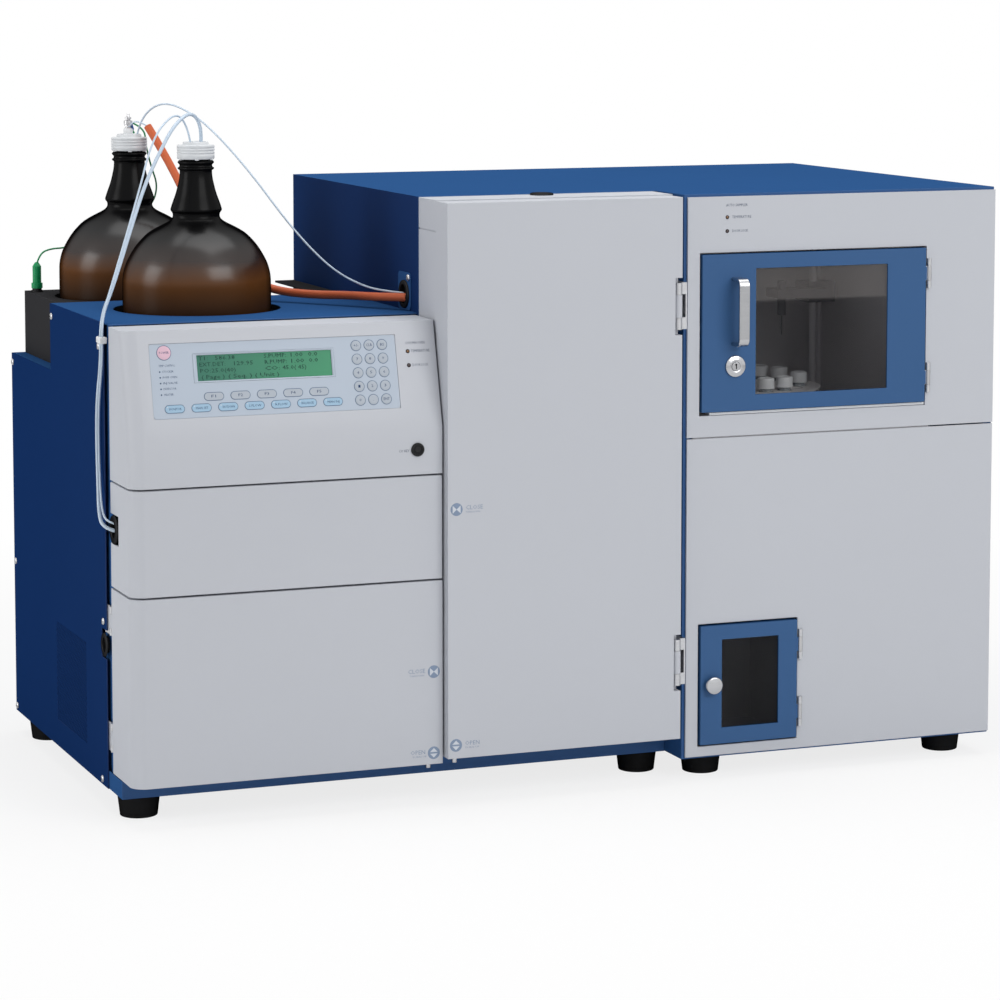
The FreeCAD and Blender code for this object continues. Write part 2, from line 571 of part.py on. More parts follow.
# display: a glass-fronted module behind the hood's wall
piece("display_module", join(
    "display_parts",
    slant_box("display_glass", "display_left + clearance", "display_width - 2 * clearance",
              "display_down + clearance", "display_length - 2 * clearance", "pad_depth",
              "display_depth"),
    slant_box("display_board", "display_left - 4", "display_width + 8", "display_down - 4",
              "display_length + 8", "cover_wall", "display_depth - cover_wall")))

# middle cover with the notch where the tubes enter
mid_shell = cut(
    "mid_shell",
    round_block("mid_outer", COVER_LEFT, COVER_RIGHT, "cover_front", COVER_BACK, MID_LOW,
                MID_TOP, "corner_radius"),
    round_block("mid_inner", f"{COVER_LEFT} + cover_wall", f"{COVER_RIGHT} - cover_wall",
                "cover_front + cover_wall", f"{COVER_BACK} + 1", f"{MID_LOW} + cover_wall",
                f"{MID_TOP} - cover_wall", "(corner_radius - cover_wall)"))
NOTCH_LOW = f"({MID_LOW} + notch_rise)"
NOTCH_TOP = f"({MID_LOW} + notch_rise + notch_height)"
piece("mid_cover", cut("mid_opened", mid_shell, box(
    "mid_notch", "-1", f"{COVER_LEFT} + cover_wall + 1", f"{COVER_BACK} - notch_width",
    f"{COVER_BACK} + 1", NOTCH_LOW, NOTCH_TOP)))

# pump door: a deep moulded cover on two hinges at its left back edge
PUMP_HINGE_X = f"({COVER_LEFT} + 1.1)"
PUMP_HINGE_Y = f"({COVER_BACK} + 4.2)"
pump_shell = cut(
    "pump_shell",
    round_block("pump_outer", COVER_LEFT, COVER_RIGHT, "cover_front", COVER_BACK, PUMP_LOW,
                PUMP_TOP, "corner_radius"),
    round_block("pump_inner", f"{COVER_LEFT} + door_wall", f"{COVER_RIGHT} - door_wall",
                "cover_front + door_wall", f"{COVER_BACK} + 1", f"{PUMP_LOW} + door_wall",
                f"{PUMP_TOP} - door_wall", "(corner_radius - door_wall)"))
hinge_parts = []
pump_moving = []
for k, low in enumerate((f"({PUMP_LOW} + pump_hinge_low)",
                         f"({PUMP_TOP} - pump_hinge_drop)")):
    fixed, moving = hinge(f"pump_hinge{k}", PUMP_HINGE_X, PUMP_HINGE_Y, low,
                          "pump_hinge_length", "pump_barrel", "thin_pin")
    leaf = [box(f"pump_leaf{k}", "sheet", "sheet + 1.2", f"{PUMP_HINGE_Y} + pump_barrel + 0.3",
                f"{PUMP_HINGE_Y} + 24", low, f"{low} + pump_hinge_length")]
    for part, start in enumerate((low, f"{low} + pump_hinge_length * 3 / 4")):
        leaf.append(box(f"pump_leaf{k}_{part}", "sheet", "sheet + 1.2", PUMP_HINGE_Y,
                        f"{PUMP_HINGE_Y} + pump_barrel + 1", start,
                        f"{start} + pump_hinge_length / 4"))
    hinge_parts.append(join(f"pump_fixed{k}", *fixed, *leaf))
    tongue = box(f"pump_tongue{k}", COVER_LEFT, f"{COVER_LEFT} + 1.2", f"{COVER_BACK} - 1",
                 f"{PUMP_HINGE_Y} - 1.2", f"{low} + pump_hinge_length / 4 + clearance",
                 f"{low} + pump_hinge_length * 3 / 4 - clearance")
    pump_moving += [moving, tongue]


def latch(name, x, y, low, front, bore_top):
    """A guide boss inside a door, its bore, and the pin that is pushed up from below."""
    boss = box(name + "_boss", f"({x}) - 8", f"({x}) + 8", front, f"({y}) + 8", low,
               f"({low}) + {bore_top}")
    bore = rod(name + "_bore", "Z", "latch_radius + running_gap", x, y, f"({low}) - 5",
               f"{bore_top} + 10")
    pin = join(name + "_pin",
               rod(name + "_stem", "Z", "latch_radius", x, y, f"({low}) - 6",
                   f"{bore_top} + 8"),
               rod(name + "_collar", "Z", "latch_radius + 2", x, y,
                   f"({low}) + {bore_top} + 0.1", "3"))
    return boss, bore, pin


boss, bore, pump_pin = latch("pump_latch", f"{COVER_RIGHT} - 12.6", "cover_front + 12",
                             PUMP_LOW, "cover_front + 1", "16")
piece("pump_door", cut("pump_door_whole",
                       join("pump_door_solid", pump_shell, boss, *pump_moving), bore))
piece("pump_latch_pin", pump_pin)

# oven door: folded pan with notches for its hinges
HINGE_X = f"({DOOR_RIGHT} - oven_hinge_inset)"
HINGE_Y = "(oven_door_front + 4.5)"
NOTCH_BACK = "(oven_door_front + oven_notch_depth)"
pan = cut("door_pan_hollow",
          box("door_pan", DOOR_LEFT, DOOR_RIGHT, "oven_door_front", DOOR_BACK, DOOR_LOW,
              DOOR_TOP),
          box("door_pan_inside", f"{DOOR_LEFT} + door_sheet", f"{DOOR_RIGHT} - door_sheet",
              "oven_door_front + door_sheet", f"{DOOR_BACK} + 1", f"{DOOR_LOW} + door_sheet",
              f"{DOOR_TOP} - door_sheet"))
liners, notches, core_cuts, oven_moving = [], [], [], []
for k, rise in enumerate(("oven_hinge_low", "oven_hinge_high")):
    low = f"({BASE_Z} + {rise})"
    high = f"({low} + oven_notch_length)"
    liners.append(box(f"notch_liner{k}", f"{DOOR_RIGHT} - oven_notch_width - door_sheet",
                      DOOR_RIGHT, "oven_door_front", f"{NOTCH_BACK} + door_sheet",
                      f"{low} - door_sheet", f"{high} + door_sheet"))
    notches.append(box(f"door_notch{k}", f"{DOOR_RIGHT} - oven_notch_width",
                       f"{DOOR_RIGHT} + 5", "oven_door_front - 5", NOTCH_BACK, low, high))
    core_cuts.append(box(f"core_notch{k}", f"{DOOR_RIGHT} - oven_notch_width - door_sheet",
                         f"{DOOR_RIGHT} + 5", "oven_door_front", f"{NOTCH_BACK} + door_sheet",
                         f"{low} - door_sheet", f"{high} + door_sheet"))
    start = f"({low} + (oven_notch_length - oven_hinge_length) / 2)"
    fixed, moving = hinge(f"oven_hinge{k}", HINGE_X, HINGE_Y, start, "oven_hinge_length",
                          "oven_barrel", "pin_radius")
    arms = [box(f"oven_leaf{k}", f"{SAMPLER_X} - sheet", SAMPLER_X, f"{HINGE_Y} + 2.25",
                f"{HINGE_Y} + 37", start, f"{start} + oven_hinge_length")]
    for part, base in enumerate((start, f"{start} + oven_hinge_length * 3 / 4")):
        arms.append(box(f"oven_arm{k}_{part}", f"{HINGE_X} + 2", SAMPLER_X,
                        f"{HINGE_Y} + 2.25", f"{HINGE_Y} + 4.15", base,
                        f"{base} + oven_hinge_length / 4"))
    hinge_parts.append(join(f"oven_fixed{k}", *fixed, *arms))
    oven_moving += [moving, box(f"oven_tongue{k}", f"{HINGE_X} - 1.5", f"{HINGE_X} + 1.5",
                                f"{HINGE_Y} + 2.5", NOTCH_BACK,
                                f"{start} + oven_hinge_length / 4 + clearance",
                                f"{start} + oven_hinge_length * 3 / 4 - clearance")]
boss, bore, oven_pin = latch("oven_latch", f"{DOOR_LEFT} + 10.6", "oven_door_front + 10",
                             DOOR_LOW, "oven_door_front + 1", "16")
door = join("oven_door_welded", cut("oven_pan_notched", join("oven_pan_lined", pan, *liners),
                                    *notches), *oven_moving, boss)
piece("oven_door", cut("oven_door_bored", door, bore))
piece("oven_latch_pin", oven_pin)
core = cut(
    "core_fitted",
    box("core_block", f"{DOOR_LEFT} + door_sheet", f"{DOOR_RIGHT} - door_sheet",
        "oven_door_front + door_sheet", DOOR_BACK, f"{DOOR_LOW} + door_sheet",
        f"{DOOR_TOP} - door_sheet"),
    box("core_latch_room", DOOR_LEFT, f"{DOOR_LEFT} + 19", "oven_door_front",
        "oven_door_front + 19", DOOR_LOW, f"{DOOR_LOW} + 35"),
    cut("core_groove", box("groove_outer", f"{DOOR_LEFT} + 5", f"{DOOR_RIGHT} - 5",
                           f"{DOOR_BACK} - 3", f"{DOOR_BACK} + 1", f"{DOOR_LOW} + 5",
                           f"{DOOR_TOP} - 5"),
        box("groove_inner", f"{DOOR_LEFT} + 15", f"{DOOR_RIGHT} - 15", f"{DOOR_BACK} - 4",
            f"{DOOR_BACK} + 2", f"{DOOR_LOW} + 15", f"{DOOR_TOP} - 15")), *core_cuts)
piece("oven_door_core", core)
piece("oven_door_seal", cut(
    "seal_frame", box("seal_outer", f"{DOOR_LEFT} + 5", f"{DOOR_RIGHT} - 5",
                      f"{DOOR_BACK} - 3", f"{DOOR_BACK} + seal_gap - 0.1", f"{DOOR_LOW} + 5",
                      f"{DOOR_TOP} - 5"),
    box("seal_inner", f"{DOOR_LEFT} + 15", f"{DOOR_RIGHT} - 15", f"{DOOR_BACK} - 4",
        f"{DOOR_BACK} + 2", f"{DOOR_LOW} + 15", f"{DOOR_TOP} - 15")))

# bezel round the oven's mouth, with a blind hole for a plug in its top
BEZEL_LEFT = "(left_width + 0.7)"
BEZEL_RIGHT = "(left_width + oven_width - bezel_right_gap)"
BEZEL_LOW = f"({BASE_Z} + bezel_low)"
PLUG_X = f"(({BEZEL_LEFT} + {BEZEL_RIGHT}) / 2)"
PLUG_Y = "(oven_case_front - 13.5)"
piece("oven_bezel", cut(
    "bezel_opened", box("bezel_block", BEZEL_LEFT, BEZEL_RIGHT, BEZEL_FRONT, "oven_case_front",
                        BEZEL_LOW, BEZEL_TOP),
    box("bezel_mouth", f"{BEZEL_LEFT} + bezel_rail", f"{BEZEL_RIGHT} - bezel_rail",
        f"{BEZEL_FRONT} - 1", "oven_case_front + 1", f"{BEZEL_LOW} + bezel_rail + 2",
        f"{BEZEL_TOP} - bezel_rail - 2"),
    box("bezel_joint", f"{BEZEL_LEFT} - 1", f"{BEZEL_LEFT} + 1.2", f"{BEZEL_FRONT} - 1",
        "oven_case_front + 1", f"{BEZEL_TOP} - bezel_split", f"{BEZEL_TOP} - bezel_split + 1.5"),
    rod("bezel_plug_hole", "Z", "9", PLUG_X, PLUG_Y, f"{BEZEL_TOP} - 8", "10")))

# oven casing, and the ledge and plate fixed to its left side
CASE_BACK = "(tall_back - sheet)"
GROMMET_Y = "(oven_case_front + 40.8)"
GROMMET_Z = f"({LEFT_TOP} + 17.4)"
casing = shell("oven_tube", "left_width", SAMPLER_X, "oven_case_front", CASE_BACK,
               f"{BASE_Z} + sheet", TALL_TOP, "sheet", "both")
piece("oven_casing", cut("oven_tube_bored", casing, rod(
    "oven_grommet_hole", "X", "13", "left_width - 5", GROMMET_Y, GROMMET_Z, "10")))
piece("join_ledge", join(
    "ledge_fold", box("ledge_top", "left_width - 24.3", "left_width", "step_front + 5",
                      "tall_back - 2", f"{STEP_TOP} + 72", f"{STEP_TOP} + 74.5"),
    box("ledge_web", "left_width - sheet", "left_width", "step_front + 5", "tall_back - 2",
        STEP_TOP, f"{STEP_TOP} + 73")))
ACCESS_X = "(left_width - 1.2)"
piece("access_plate", cut(
    "access_bored", plate("access_sheet", "X", ACCESS_X, "left_width", "oven_case_front + 22",
                          "oven_case_front + 62", f"{LEFT_TOP} + clearance",
                          f"{LEFT_TOP} + 41.6", "6"),
    rod("access_hole", "X", "13", "left_width - 5", GROMMET_Y, GROMMET_Z, "10"),
    rod("access_screw_hole", "X", "screw_radius / 2 + 0.1", "left_width - 5",
        "oven_case_front + 28", f"{LEFT_TOP} + 36", "10")))

# oven chamber: steel liner, insulation, blower, columns and detector
CAVITY_LEFT = f"({PLUG_X} - oven_inner_width / 2)"
CAVITY_RIGHT = f"({PLUG_X} + oven_inner_width / 2)"
CAVITY_LOW = f"({BASE_Z} + oven_floor)"
CAVITY_TOP = f"({BASE_Z} + oven_floor + oven_inner_height)"
CAVITY_BACK = "(oven_case_front + oven_inner_depth)"
FAN_Z = f"({CAVITY_LOW} + oven_inner_height / 2)"
liner = join(
    "liner_fold",
    box("liner_tub", f"{CAVITY_LEFT} - chamber_wall", f"{CAVITY_RIGHT} + chamber_wall",
        "oven_case_front", f"{CAVITY_BACK} + chamber_wall", f"{CAVITY_LOW} - chamber_wall",
        f"{CAVITY_TOP} + chamber_wall"),
    box("liner_flange", f"{BEZEL_LEFT} + 8", f"{BEZEL_RIGHT} - 8", "oven_case_front",
        "oven_case_front + chamber_wall", f"{BEZEL_LOW} + 10", f"{BEZEL_TOP} - 10"))
piece("oven_liner", cut(
    "liner_hollow", liner, box("cavity", CAVITY_LEFT, CAVITY_RIGHT, "oven_case_front - 1",
                               CAVITY_BACK, CAVITY_LOW, CAVITY_TOP),
    rod("shaft_hole", "Y", "6", PLUG_X, f"{CAVITY_BACK} - 2", FAN_Z, "6")))
piece("oven_insulation", cut(
    "insulation_hollow",
    box("insulation_block", "left_width + sheet", f"{SAMPLER_X} - sheet",
        "oven_case_front + chamber_wall", f"{CAVITY_BACK} + insulation",
        f"{BASE_Z} + 2 * sheet", f"{TALL_TOP} - sheet"),
    box("insulation_room", f"{CAVITY_LEFT} - chamber_wall", f"{CAVITY_RIGHT} + chamber_wall",
        "oven_case_front - 1", f"{CAVITY_BACK} + chamber_wall",
        f"{CAVITY_LOW} - chamber_wall", f"{CAVITY_TOP} + chamber_wall"),
    box("flange_room", f"{BEZEL_LEFT} + 8", f"{BEZEL_RIGHT} - 8", "oven_case_front - 1",
        "oven_case_front + chamber_wall", f"{BEZEL_LOW} + 10", f"{BEZEL_TOP} - 10"),
    rod("motor_room", "Y", "40", PLUG_X, CAVITY_BACK, FAN_Z, "insulation + 2"),
    rod("tube_room", "X", "13", "left_width", GROMMET_Y, GROMMET_Z, "insulation + 20")))
MOTOR_FRONT = f"({CAVITY_BACK} + chamber_wall)"
piece("oven_blower", cut(
    "blower_bored",
    join("blower_parts", rod("motor_can", "Y", "40", PLUG_X, MOTOR_FRONT, FAN_Z, "62"),
         box("motor_plate", f"{PLUG_X} - 62", f"{PLUG_X} + 62", f"{CAVITY_BACK} + insulation",
             f"{CAVITY_BACK} + insulation + 2", f"{FAN_Z} - 62", f"{FAN_Z} + 62")),
    rod("motor_bore", "Y", "4 + running_gap", PLUG_X, MOTOR_FRONT, FAN_Z, "24")))
FAN_FRONT = f"({CAVITY_BACK} - fan_depth - 12)"
blades = []
for k in range(12):
    blade = doc.addObject("Part::Box", f"blade{k}")
    bind(blade, "Length", "14")
    bind(blade, "Width", "fan_depth")
    bind(blade, "Height", "1.5")
    turn = FreeCAD.Rotation(Vector(0, -1, 0), 30.0 * k)
    blade.Placement = FreeCAD.Placement(Vector(), turn)
    place(blade, f"{PLUG_X} + (fan_radius - 14) * cos({30 * k})", FAN_FRONT,
          f"{FAN_Z} + (fan_radius - 14) * sin({30 * k})")
    blades.append(blade)
piece("oven_fan_wheel", join(
    "fan_parts",
    rod("fan_disc", "Y", "fan_radius", PLUG_X, f"{FAN_FRONT} + fan_depth - 2", FAN_Z, "2"),
    ring("fan_rim", "Y", "fan_radius", "fan_radius - 13", PLUG_X, FAN_FRONT, FAN_Z, "1.5"),
    rod("fan_hub", "Y", "9", PLUG_X, FAN_FRONT, FAN_Z, "fan_depth"),
    rod("fan_shaft", "Y", "4", PLUG_X, FAN_FRONT, FAN_Z, f"fan_depth + 12 + 22"), *blades))
columns = []
COLUMN_Y = f"({CAVITY_BACK} - 128)"
COLUMN_Z = f"({CAVITY_LOW} + 100)"
for k in range(4):
    cx = f"({PLUG_X} + column_pitch * {k - 1.5})"
    columns += [rod(f"column{k}", "Z", "column_radius", cx, COLUMN_Y, COLUMN_Z,
                    "column_length"),
                rod(f"column{k}_low", "Z", "column_radius + 3", cx, COLUMN_Y, COLUMN_Z, "22"),
                rod(f"column{k}_high", "Z", "column_radius + 3", cx, COLUMN_Y,
                    f"{COLUMN_Z} + column_length - 22", "22"),
                rod(f"column{k}_line", "Z", "0.8", cx, COLUMN_Y, f"{COLUMN_Z} - 18",
                    "column_length + 36")]
for k, rise in enumerate(("50", "column_length - 65")):
    columns.append(box(f"column_rail{k}", CAVITY_LEFT, CAVITY_RIGHT, f"{COLUMN_Y} + 4",
                       f"{COLUMN_Y} + 10", f"{COLUMN_Z} + {rise}", f"{COLUMN_Z} + {rise} + 15"))
piece("separation_columns", join("column_bank", *columns))
piece("detector", join(
    "detector_parts",
    box("detector_case", f"{PLUG_X} - 80", f"{PLUG_X} + 80", f"{CAVITY_BACK} - 200",
        f"{CAVITY_BACK} - 60", CAVITY_LOW, f"{CAVITY_LOW} + 64"),
    rod("detector_inlet", "Z", "5", f"{PLUG_X} - 40", f"{CAVITY_BACK} - 160",
        f"{CAVITY_LOW} + 60", "12"),
    rod("detector_outlet", "Z", "5", f"{PLUG_X} + 40", f"{CAVITY_BACK} - 160",
        f"{CAVITY_LOW} + 60", "12")))

# sampler casing with a lip that the front panels are fixed to
lip = cut("case_lip_frame", box("lip_outer", f"{SAMPLER_X} + sheet", f"{RIGHT_X} - sheet",
                                CASE_FRONT, f"{CASE_FRONT} + sheet", f"{BASE_Z} + sheet",
                                f"{TALL_TOP} - sheet"),
          box("lip_inner", f"{SAMPLER_X} + sheet + case_lip", f"{RIGHT_X} - sheet - case_lip",
              f"{CASE_FRONT} - 1", f"{CASE_FRONT} + 5", f"{BASE_Z} + sheet + case_lip",
              f"{TALL_TOP} - sheet - case_lip"))
piece("sampler_casing", join("sampler_sheet", shell(
    "sampler_tube", SAMPLER_X, RIGHT_X, CASE_FRONT, CASE_BACK, BASE_Z, TALL_TOP, "sheet",
    "both"), lip))

# front panels, each with one opening
RECESS = {"sampler": (f"({SAMPLER_X} + sampler_recess_left)",
                      f"({SAMPLER_X} + sampler_recess_left + sampler_recess_width)",
                      f"({BASE_Z} + sampler_recess_low)",
                      f"({BASE_Z} + sampler_recess_low + sampler_recess_height)"),
          "small": (f"({SAMPLER_X} + small_recess_left)",
                    f"({SAMPLER_X} + small_recess_left + small_recess_width)",
                    f"({BASE_Z} + small_recess_low)",
                    f"({BASE_Z} + small_recess_low + small_recess_height)")}
PANEL_LAMP_X = f"({PANEL_LEFT} + 47)"
PANEL_LAMPS = (f"({PANEL_TOP} - 22.7)", f"({PANEL_TOP} - 37.9)")
x0, x1, z0, z1 = RECESS["sampler"]
piece("upper_front_panel", cut(
    "upper_opened", box("upper_plate", PANEL_LEFT, RIGHT_X, "panel_front", CASE_FRONT,
                        f"{SEAM} + seam_gap / 2", PANEL_TOP),
    box("upper_opening", x0, x1, "panel_front - 1", f"{CASE_FRONT} + 1", z0, z1),
    *[rod(f"panel_lamp_hole{k}", "Y", "lamp_radius + 0.1", PANEL_LAMP_X, "panel_front - 1", z,
          "8") for k, z in enumerate(PANEL_LAMPS)]))
x0, x1, z0, z1 = RECESS["small"]
piece("lower_front_panel", cut(
    "lower_opened", box("lower_plate", PANEL_LEFT, RIGHT_X, "panel_front", CASE_FRONT,
                        PANEL_LOW, f"{SEAM} - seam_gap / 2"),
    box("lower_opening", x0, x1, "panel_front - 1", f"{CASE_FRONT} + 1", z0, z1)))

# sampler chamber with the carousel's spindle and the needle's guide rods
x0, x1, z0, z1 = RECESS["sampler"]
CHAMBER_LOW = f"({z0} - chamber_drop)"
CHAMBER_FLOOR = f"({CHAMBER_LOW} + chamber_wall)"
CHAMBER_TOP = f"({z1} + 6)"
CAROUSEL_X = f"({SAMPLER_X} + carousel_x)"
NEEDLE_X = f"({x1} - 32)"
NEEDLE_Y = "(carousel_y + 44)"
chamber_box = cut(
    "chamber_hollow", box("chamber_outer", f"{x0} - 6", f"{x1} + 6", CASE_FRONT,
                          f"{CASE_FRONT} + chamber_depth", CHAMBER_LOW, CHAMBER_TOP),
    box("chamber_inner", f"{x0} - 6 + chamber_wall", f"{x1} + 6 - chamber_wall",
        f"{CASE_FRONT} + chamber_wall", f"{CASE_FRONT} + chamber_depth - chamber_wall",
        CHAMBER_FLOOR, f"{CHAMBER_TOP} - chamber_wall"),
    box("chamber_mouth", x0, x1, f"{CASE_FRONT} - 1", f"{CASE_FRONT} + 5", z0, z1))
piece("sampler_chamber", join(
    "chamber_fitted", chamber_box,
    rod("spindle", "Z", "4", CAROUSEL_X, "carousel_y", CHAMBER_FLOOR, "34"),
    rod("guide_rod_a", "Z", "4", NEEDLE_X, NEEDLE_Y, CHAMBER_FLOOR,
        f"{CHAMBER_TOP} - chamber_wall - {CHAMBER_FLOOR}"),
    rod("guide_rod_b", "Z", "3", f"{NEEDLE_X} + 16", f"{NEEDLE_Y} + 16", CHAMBER_FLOOR,
        f"{CHAMBER_TOP} - chamber_wall - {CHAMBER_FLOOR}")))

# carousel: two discs on a hub, the upper one pierced for the vials
DISC_LOW = f"({CHAMBER_FLOOR} + 8)"
DISC_HIGH = f"({DISC_LOW} + carousel_rise + plate)"
ring_places = [22.5 * k - 90 for k in range(16)]


def on_ring(angle):
    return (f"{CAROUSEL_X} + vial_ring * cos({angle})", f"carousel_y + vial_ring * sin({angle})")


piece("carousel", cut(
    "carousel_bored",
    join("carousel_discs",
         rod("disc_low", "Z", "carousel_radius - 12", CAROUSEL_X, "carousel_y", DISC_LOW,
             "plate"),
         rod("disc_high", "Z", "carousel_radius", CAROUSEL_X, "carousel_y", DISC_HIGH, "plate"),
         rod("carousel_hub", "Z", "14", CAROUSEL_X, "carousel_y", f"{CHAMBER_FLOOR} + 0.3",
             "carousel_rise + 11.7")),
    rod("spindle_bore", "Z", "4 + running_gap", CAROUSEL_X, "carousel_y", CHAMBER_FLOOR,
        "34.5"),
    *[rod(f"vial_hole{k}", "Z", "vial_radius + 0.3", *on_ring(a), f"{DISC_HIGH} - 1",
          "plate + 2") for k, a in enumerate(ring_places)]))
vials = []
for k in (0, 1, 3, 5, 6, 9, 12, 14):
    vx, vy = on_ring(ring_places[k])
    vials.append(join(
        f"vial{k}", rod(f"vial{k}_glass", "Z", "vial_radius", vx, vy, f"{DISC_LOW} + plate",
                        "vial_height + 1"),
        rod(f"vial{k}_cap", "Z", "vial_cap_radius", vx, vy,
            f"{DISC_LOW} + plate + vial_height", "12")))
piece("sample_vials", group("vial_set", *vials))

# needle arm that slides on the guide rods above the vial ring
ARM_LOW = f"({CHAMBER_FLOOR} + 133)"
NEEDLE_TIP = f"({DISC_LOW} + plate + vial_height + 12 + needle_stroke + 2)"
tip_x, tip_y = f"({CAROUSEL_X} + vial_ring * cos(20))", "(carousel_y + vial_ring * sin(20))"
piece("needle_arm", cut(
    "arm_bored",
    join("arm_parts",
         box("arm_block", f"{NEEDLE_X} - 11", f"{NEEDLE_X} + 24", f"{NEEDLE_Y} - 11",
             f"{NEEDLE_Y} + 24", ARM_LOW, f"{ARM_LOW} + 24"),
         box("arm_beam", f"{tip_x} - 9", f"{NEEDLE_X} + 5", f"{tip_y} - 9", f"{NEEDLE_Y} + 2",
             f"{ARM_LOW} + 8", f"{ARM_LOW} + 18"),
         rod("needle_clamp", "Z", "5", tip_x, tip_y, f"{ARM_LOW} - 12", "40"),
         rod("needle", "Z", "0.9", tip_x, tip_y, NEEDLE_TIP, f"{ARM_LOW} - {NEEDLE_TIP}")),
    rod("arm_bore_a", "Z", "4 + running_gap", NEEDLE_X, NEEDLE_Y, f"{ARM_LOW} - 1", "26"),
    rod("arm_bore_b", "Z", "3 + running_gap", f"{NEEDLE_X} + 16", f"{NEEDLE_Y} + 16",
        f"{ARM_LOW} - 1", "26")))

# the two framed doors of the sampler
LEAF_FRONT = "(panel_front - leaf_proud)"
LEAF_HINGE_Y = "(panel_front - 2.8)"


def leaf(name, recess, gaps, window, hinge_lows):
    """A moulded door with a window pocket, its pane and its hinges' moving parts."""
    x0, x1, z0, z1 = recess
    left, right, low, high = (f"({x0} + {gaps[0]})", f"({x1} - {gaps[1]})",
                              f"({z0} + {gaps[2]})", f"({z1} - {gaps[3]})")
    wx0, wx1, wz0, wz1 = window
    body = cut(
        name + "_hollow",
        box(name + "_block", left, right, LEAF_FRONT, f"{LEAF_FRONT} + leaf_depth", low, high),
        box(name + "_inside", f"{left} + door_wall", f"{right} - door_wall",
            f"{LEAF_FRONT} + door_wall", f"{LEAF_FRONT} + leaf_depth + 1",
            f"{low} + door_wall", f"{high} - door_wall"))
    rim = box(name + "_rim", f"{wx0} - 6", f"{wx1} + 6", LEAF_FRONT, f"{LEAF_FRONT} + 8",
              f"{wz0} - 6", f"{wz1} + 6")
    pocket = box(name + "_pocket", f"{wx0} - 3", f"{wx1} + 3", f"{LEAF_FRONT} + door_wall",
                 f"{LEAF_FRONT} + leaf_depth + 2", f"{wz0} - 3", f"{wz1} + 3")
    hole = box(name + "_hole", wx0, wx1, f"{LEAF_FRONT} - 1", f"{LEAF_FRONT} + 5", wz0, wz1)
    pane = box(name + "_pane", f"{wx0} - 3", f"{wx1} + 3", f"{LEAF_FRONT} + door_wall",
               f"{LEAF_FRONT} + door_wall + window_thick", f"{wz0} - 3", f"{wz1} + 3")
    hinge_x = f"({right} + 4.1)"
    moving_parts = []
    for k, low_z in enumerate(hinge_lows):
        fixed, moving = hinge(f"{name}_hinge{k}", hinge_x, LEAF_HINGE_Y, low_z,
                              "small_hinge_length", "small_barrel", "thin_pin")
        feet_blocks = [box(f"{name}_foot{k}_{part}", f"{hinge_x} - 1.7", f"{hinge_x} + 1.7",
                           f"{LEAF_HINGE_Y} + 1.1", "panel_front", base,
                           f"{base} + small_hinge_length / 4")
                       for part, base in enumerate(
                           (low_z, f"{low_z} + small_hinge_length * 3 / 4"))]
        hinge_parts.append(join(f"{name}_fixed{k}", *fixed, *feet_blocks))
        moving_parts += [moving, box(f"{name}_tongue{k}", f"{right} - 1", f"{hinge_x} - 1.5",
                                     LEAF_FRONT, f"{LEAF_FRONT} + 1.5",
                                     f"{low_z} + small_hinge_length / 4 + clearance",
                                     f"{low_z} + small_hinge_length * 3 / 4 - clearance")]
    solid = cut(name + "_framed", join(name + "_solid", body, rim), pocket, hole)
    return solid, moving_parts, pane


SX0, SX1, SZ0, SZ1 = RECESS["sampler"]
LOCK_X = f"({SX0} + 41.9)"
LOCK_Z = f"({SZ0} + 54)"
sampler_leaf, sampler_moving, sampler_pane = leaf(
    "sampler_leaf", RECESS["sampler"], ("leaf_gap", "leaf_gap", "sampler_door_rise",
                                        "leaf_gap"),
    (f"({SX0} + 66.8)", f"({SX1} - 49.9)", f"({SZ0} + 21.7)", f"({SZ1} - 18.5)"),
    (f"({SZ0} + 14.8)", f"({SZ1} - 47.4)"))
piece("sampler_door", cut(
    "sampler_leaf_bored", join("sampler_leaf_hinged", sampler_leaf, *sampler_moving),
    rod("lock_opening", "Y", "9.6", LOCK_X, f"{LEAF_FRONT} - 1", LOCK_Z, "10")))
piece("sampler_window", sampler_pane)
handle_x = f"({SX0} + 36.7)"
handle_z = f"({SZ0} + 76.8)"
piece("sampler_handle", join(
    "handle_bent",
    box("handle_grip", handle_x, f"{handle_x} + handle_width", f"{LEAF_FRONT} - handle_reach",
        f"{LEAF_FRONT} - handle_reach + handle_bar", handle_z, f"{handle_z} + handle_length"),
    box("handle_leg_low", handle_x, f"{handle_x} + handle_width",
        f"{LEAF_FRONT} - handle_reach", LEAF_FRONT, handle_z, f"{handle_z} + handle_bar"),
    box("handle_leg_high", handle_x, f"{handle_x} + handle_width",
        f"{LEAF_FRONT} - handle_reach", LEAF_FRONT,
        f"{handle_z} + handle_length - handle_bar", f"{handle_z} + handle_length")))
piece("sampler_lock", cut(
    "lock_bored",
    join("lock_parts", rod("lock_face", "Y", "lock_radius", LOCK_X, f"{LEAF_FRONT} - 3", LOCK_Z,
                           "3"),
         rod("lock_barrel", "Y", "9.4", LOCK_X, f"{LEAF_FRONT} - 1", LOCK_Z, "16")),
    rod("lock_bore", "Y", "plug_radius + running_gap", LOCK_X, f"{LEAF_FRONT} - 4", LOCK_Z,
        "20")))
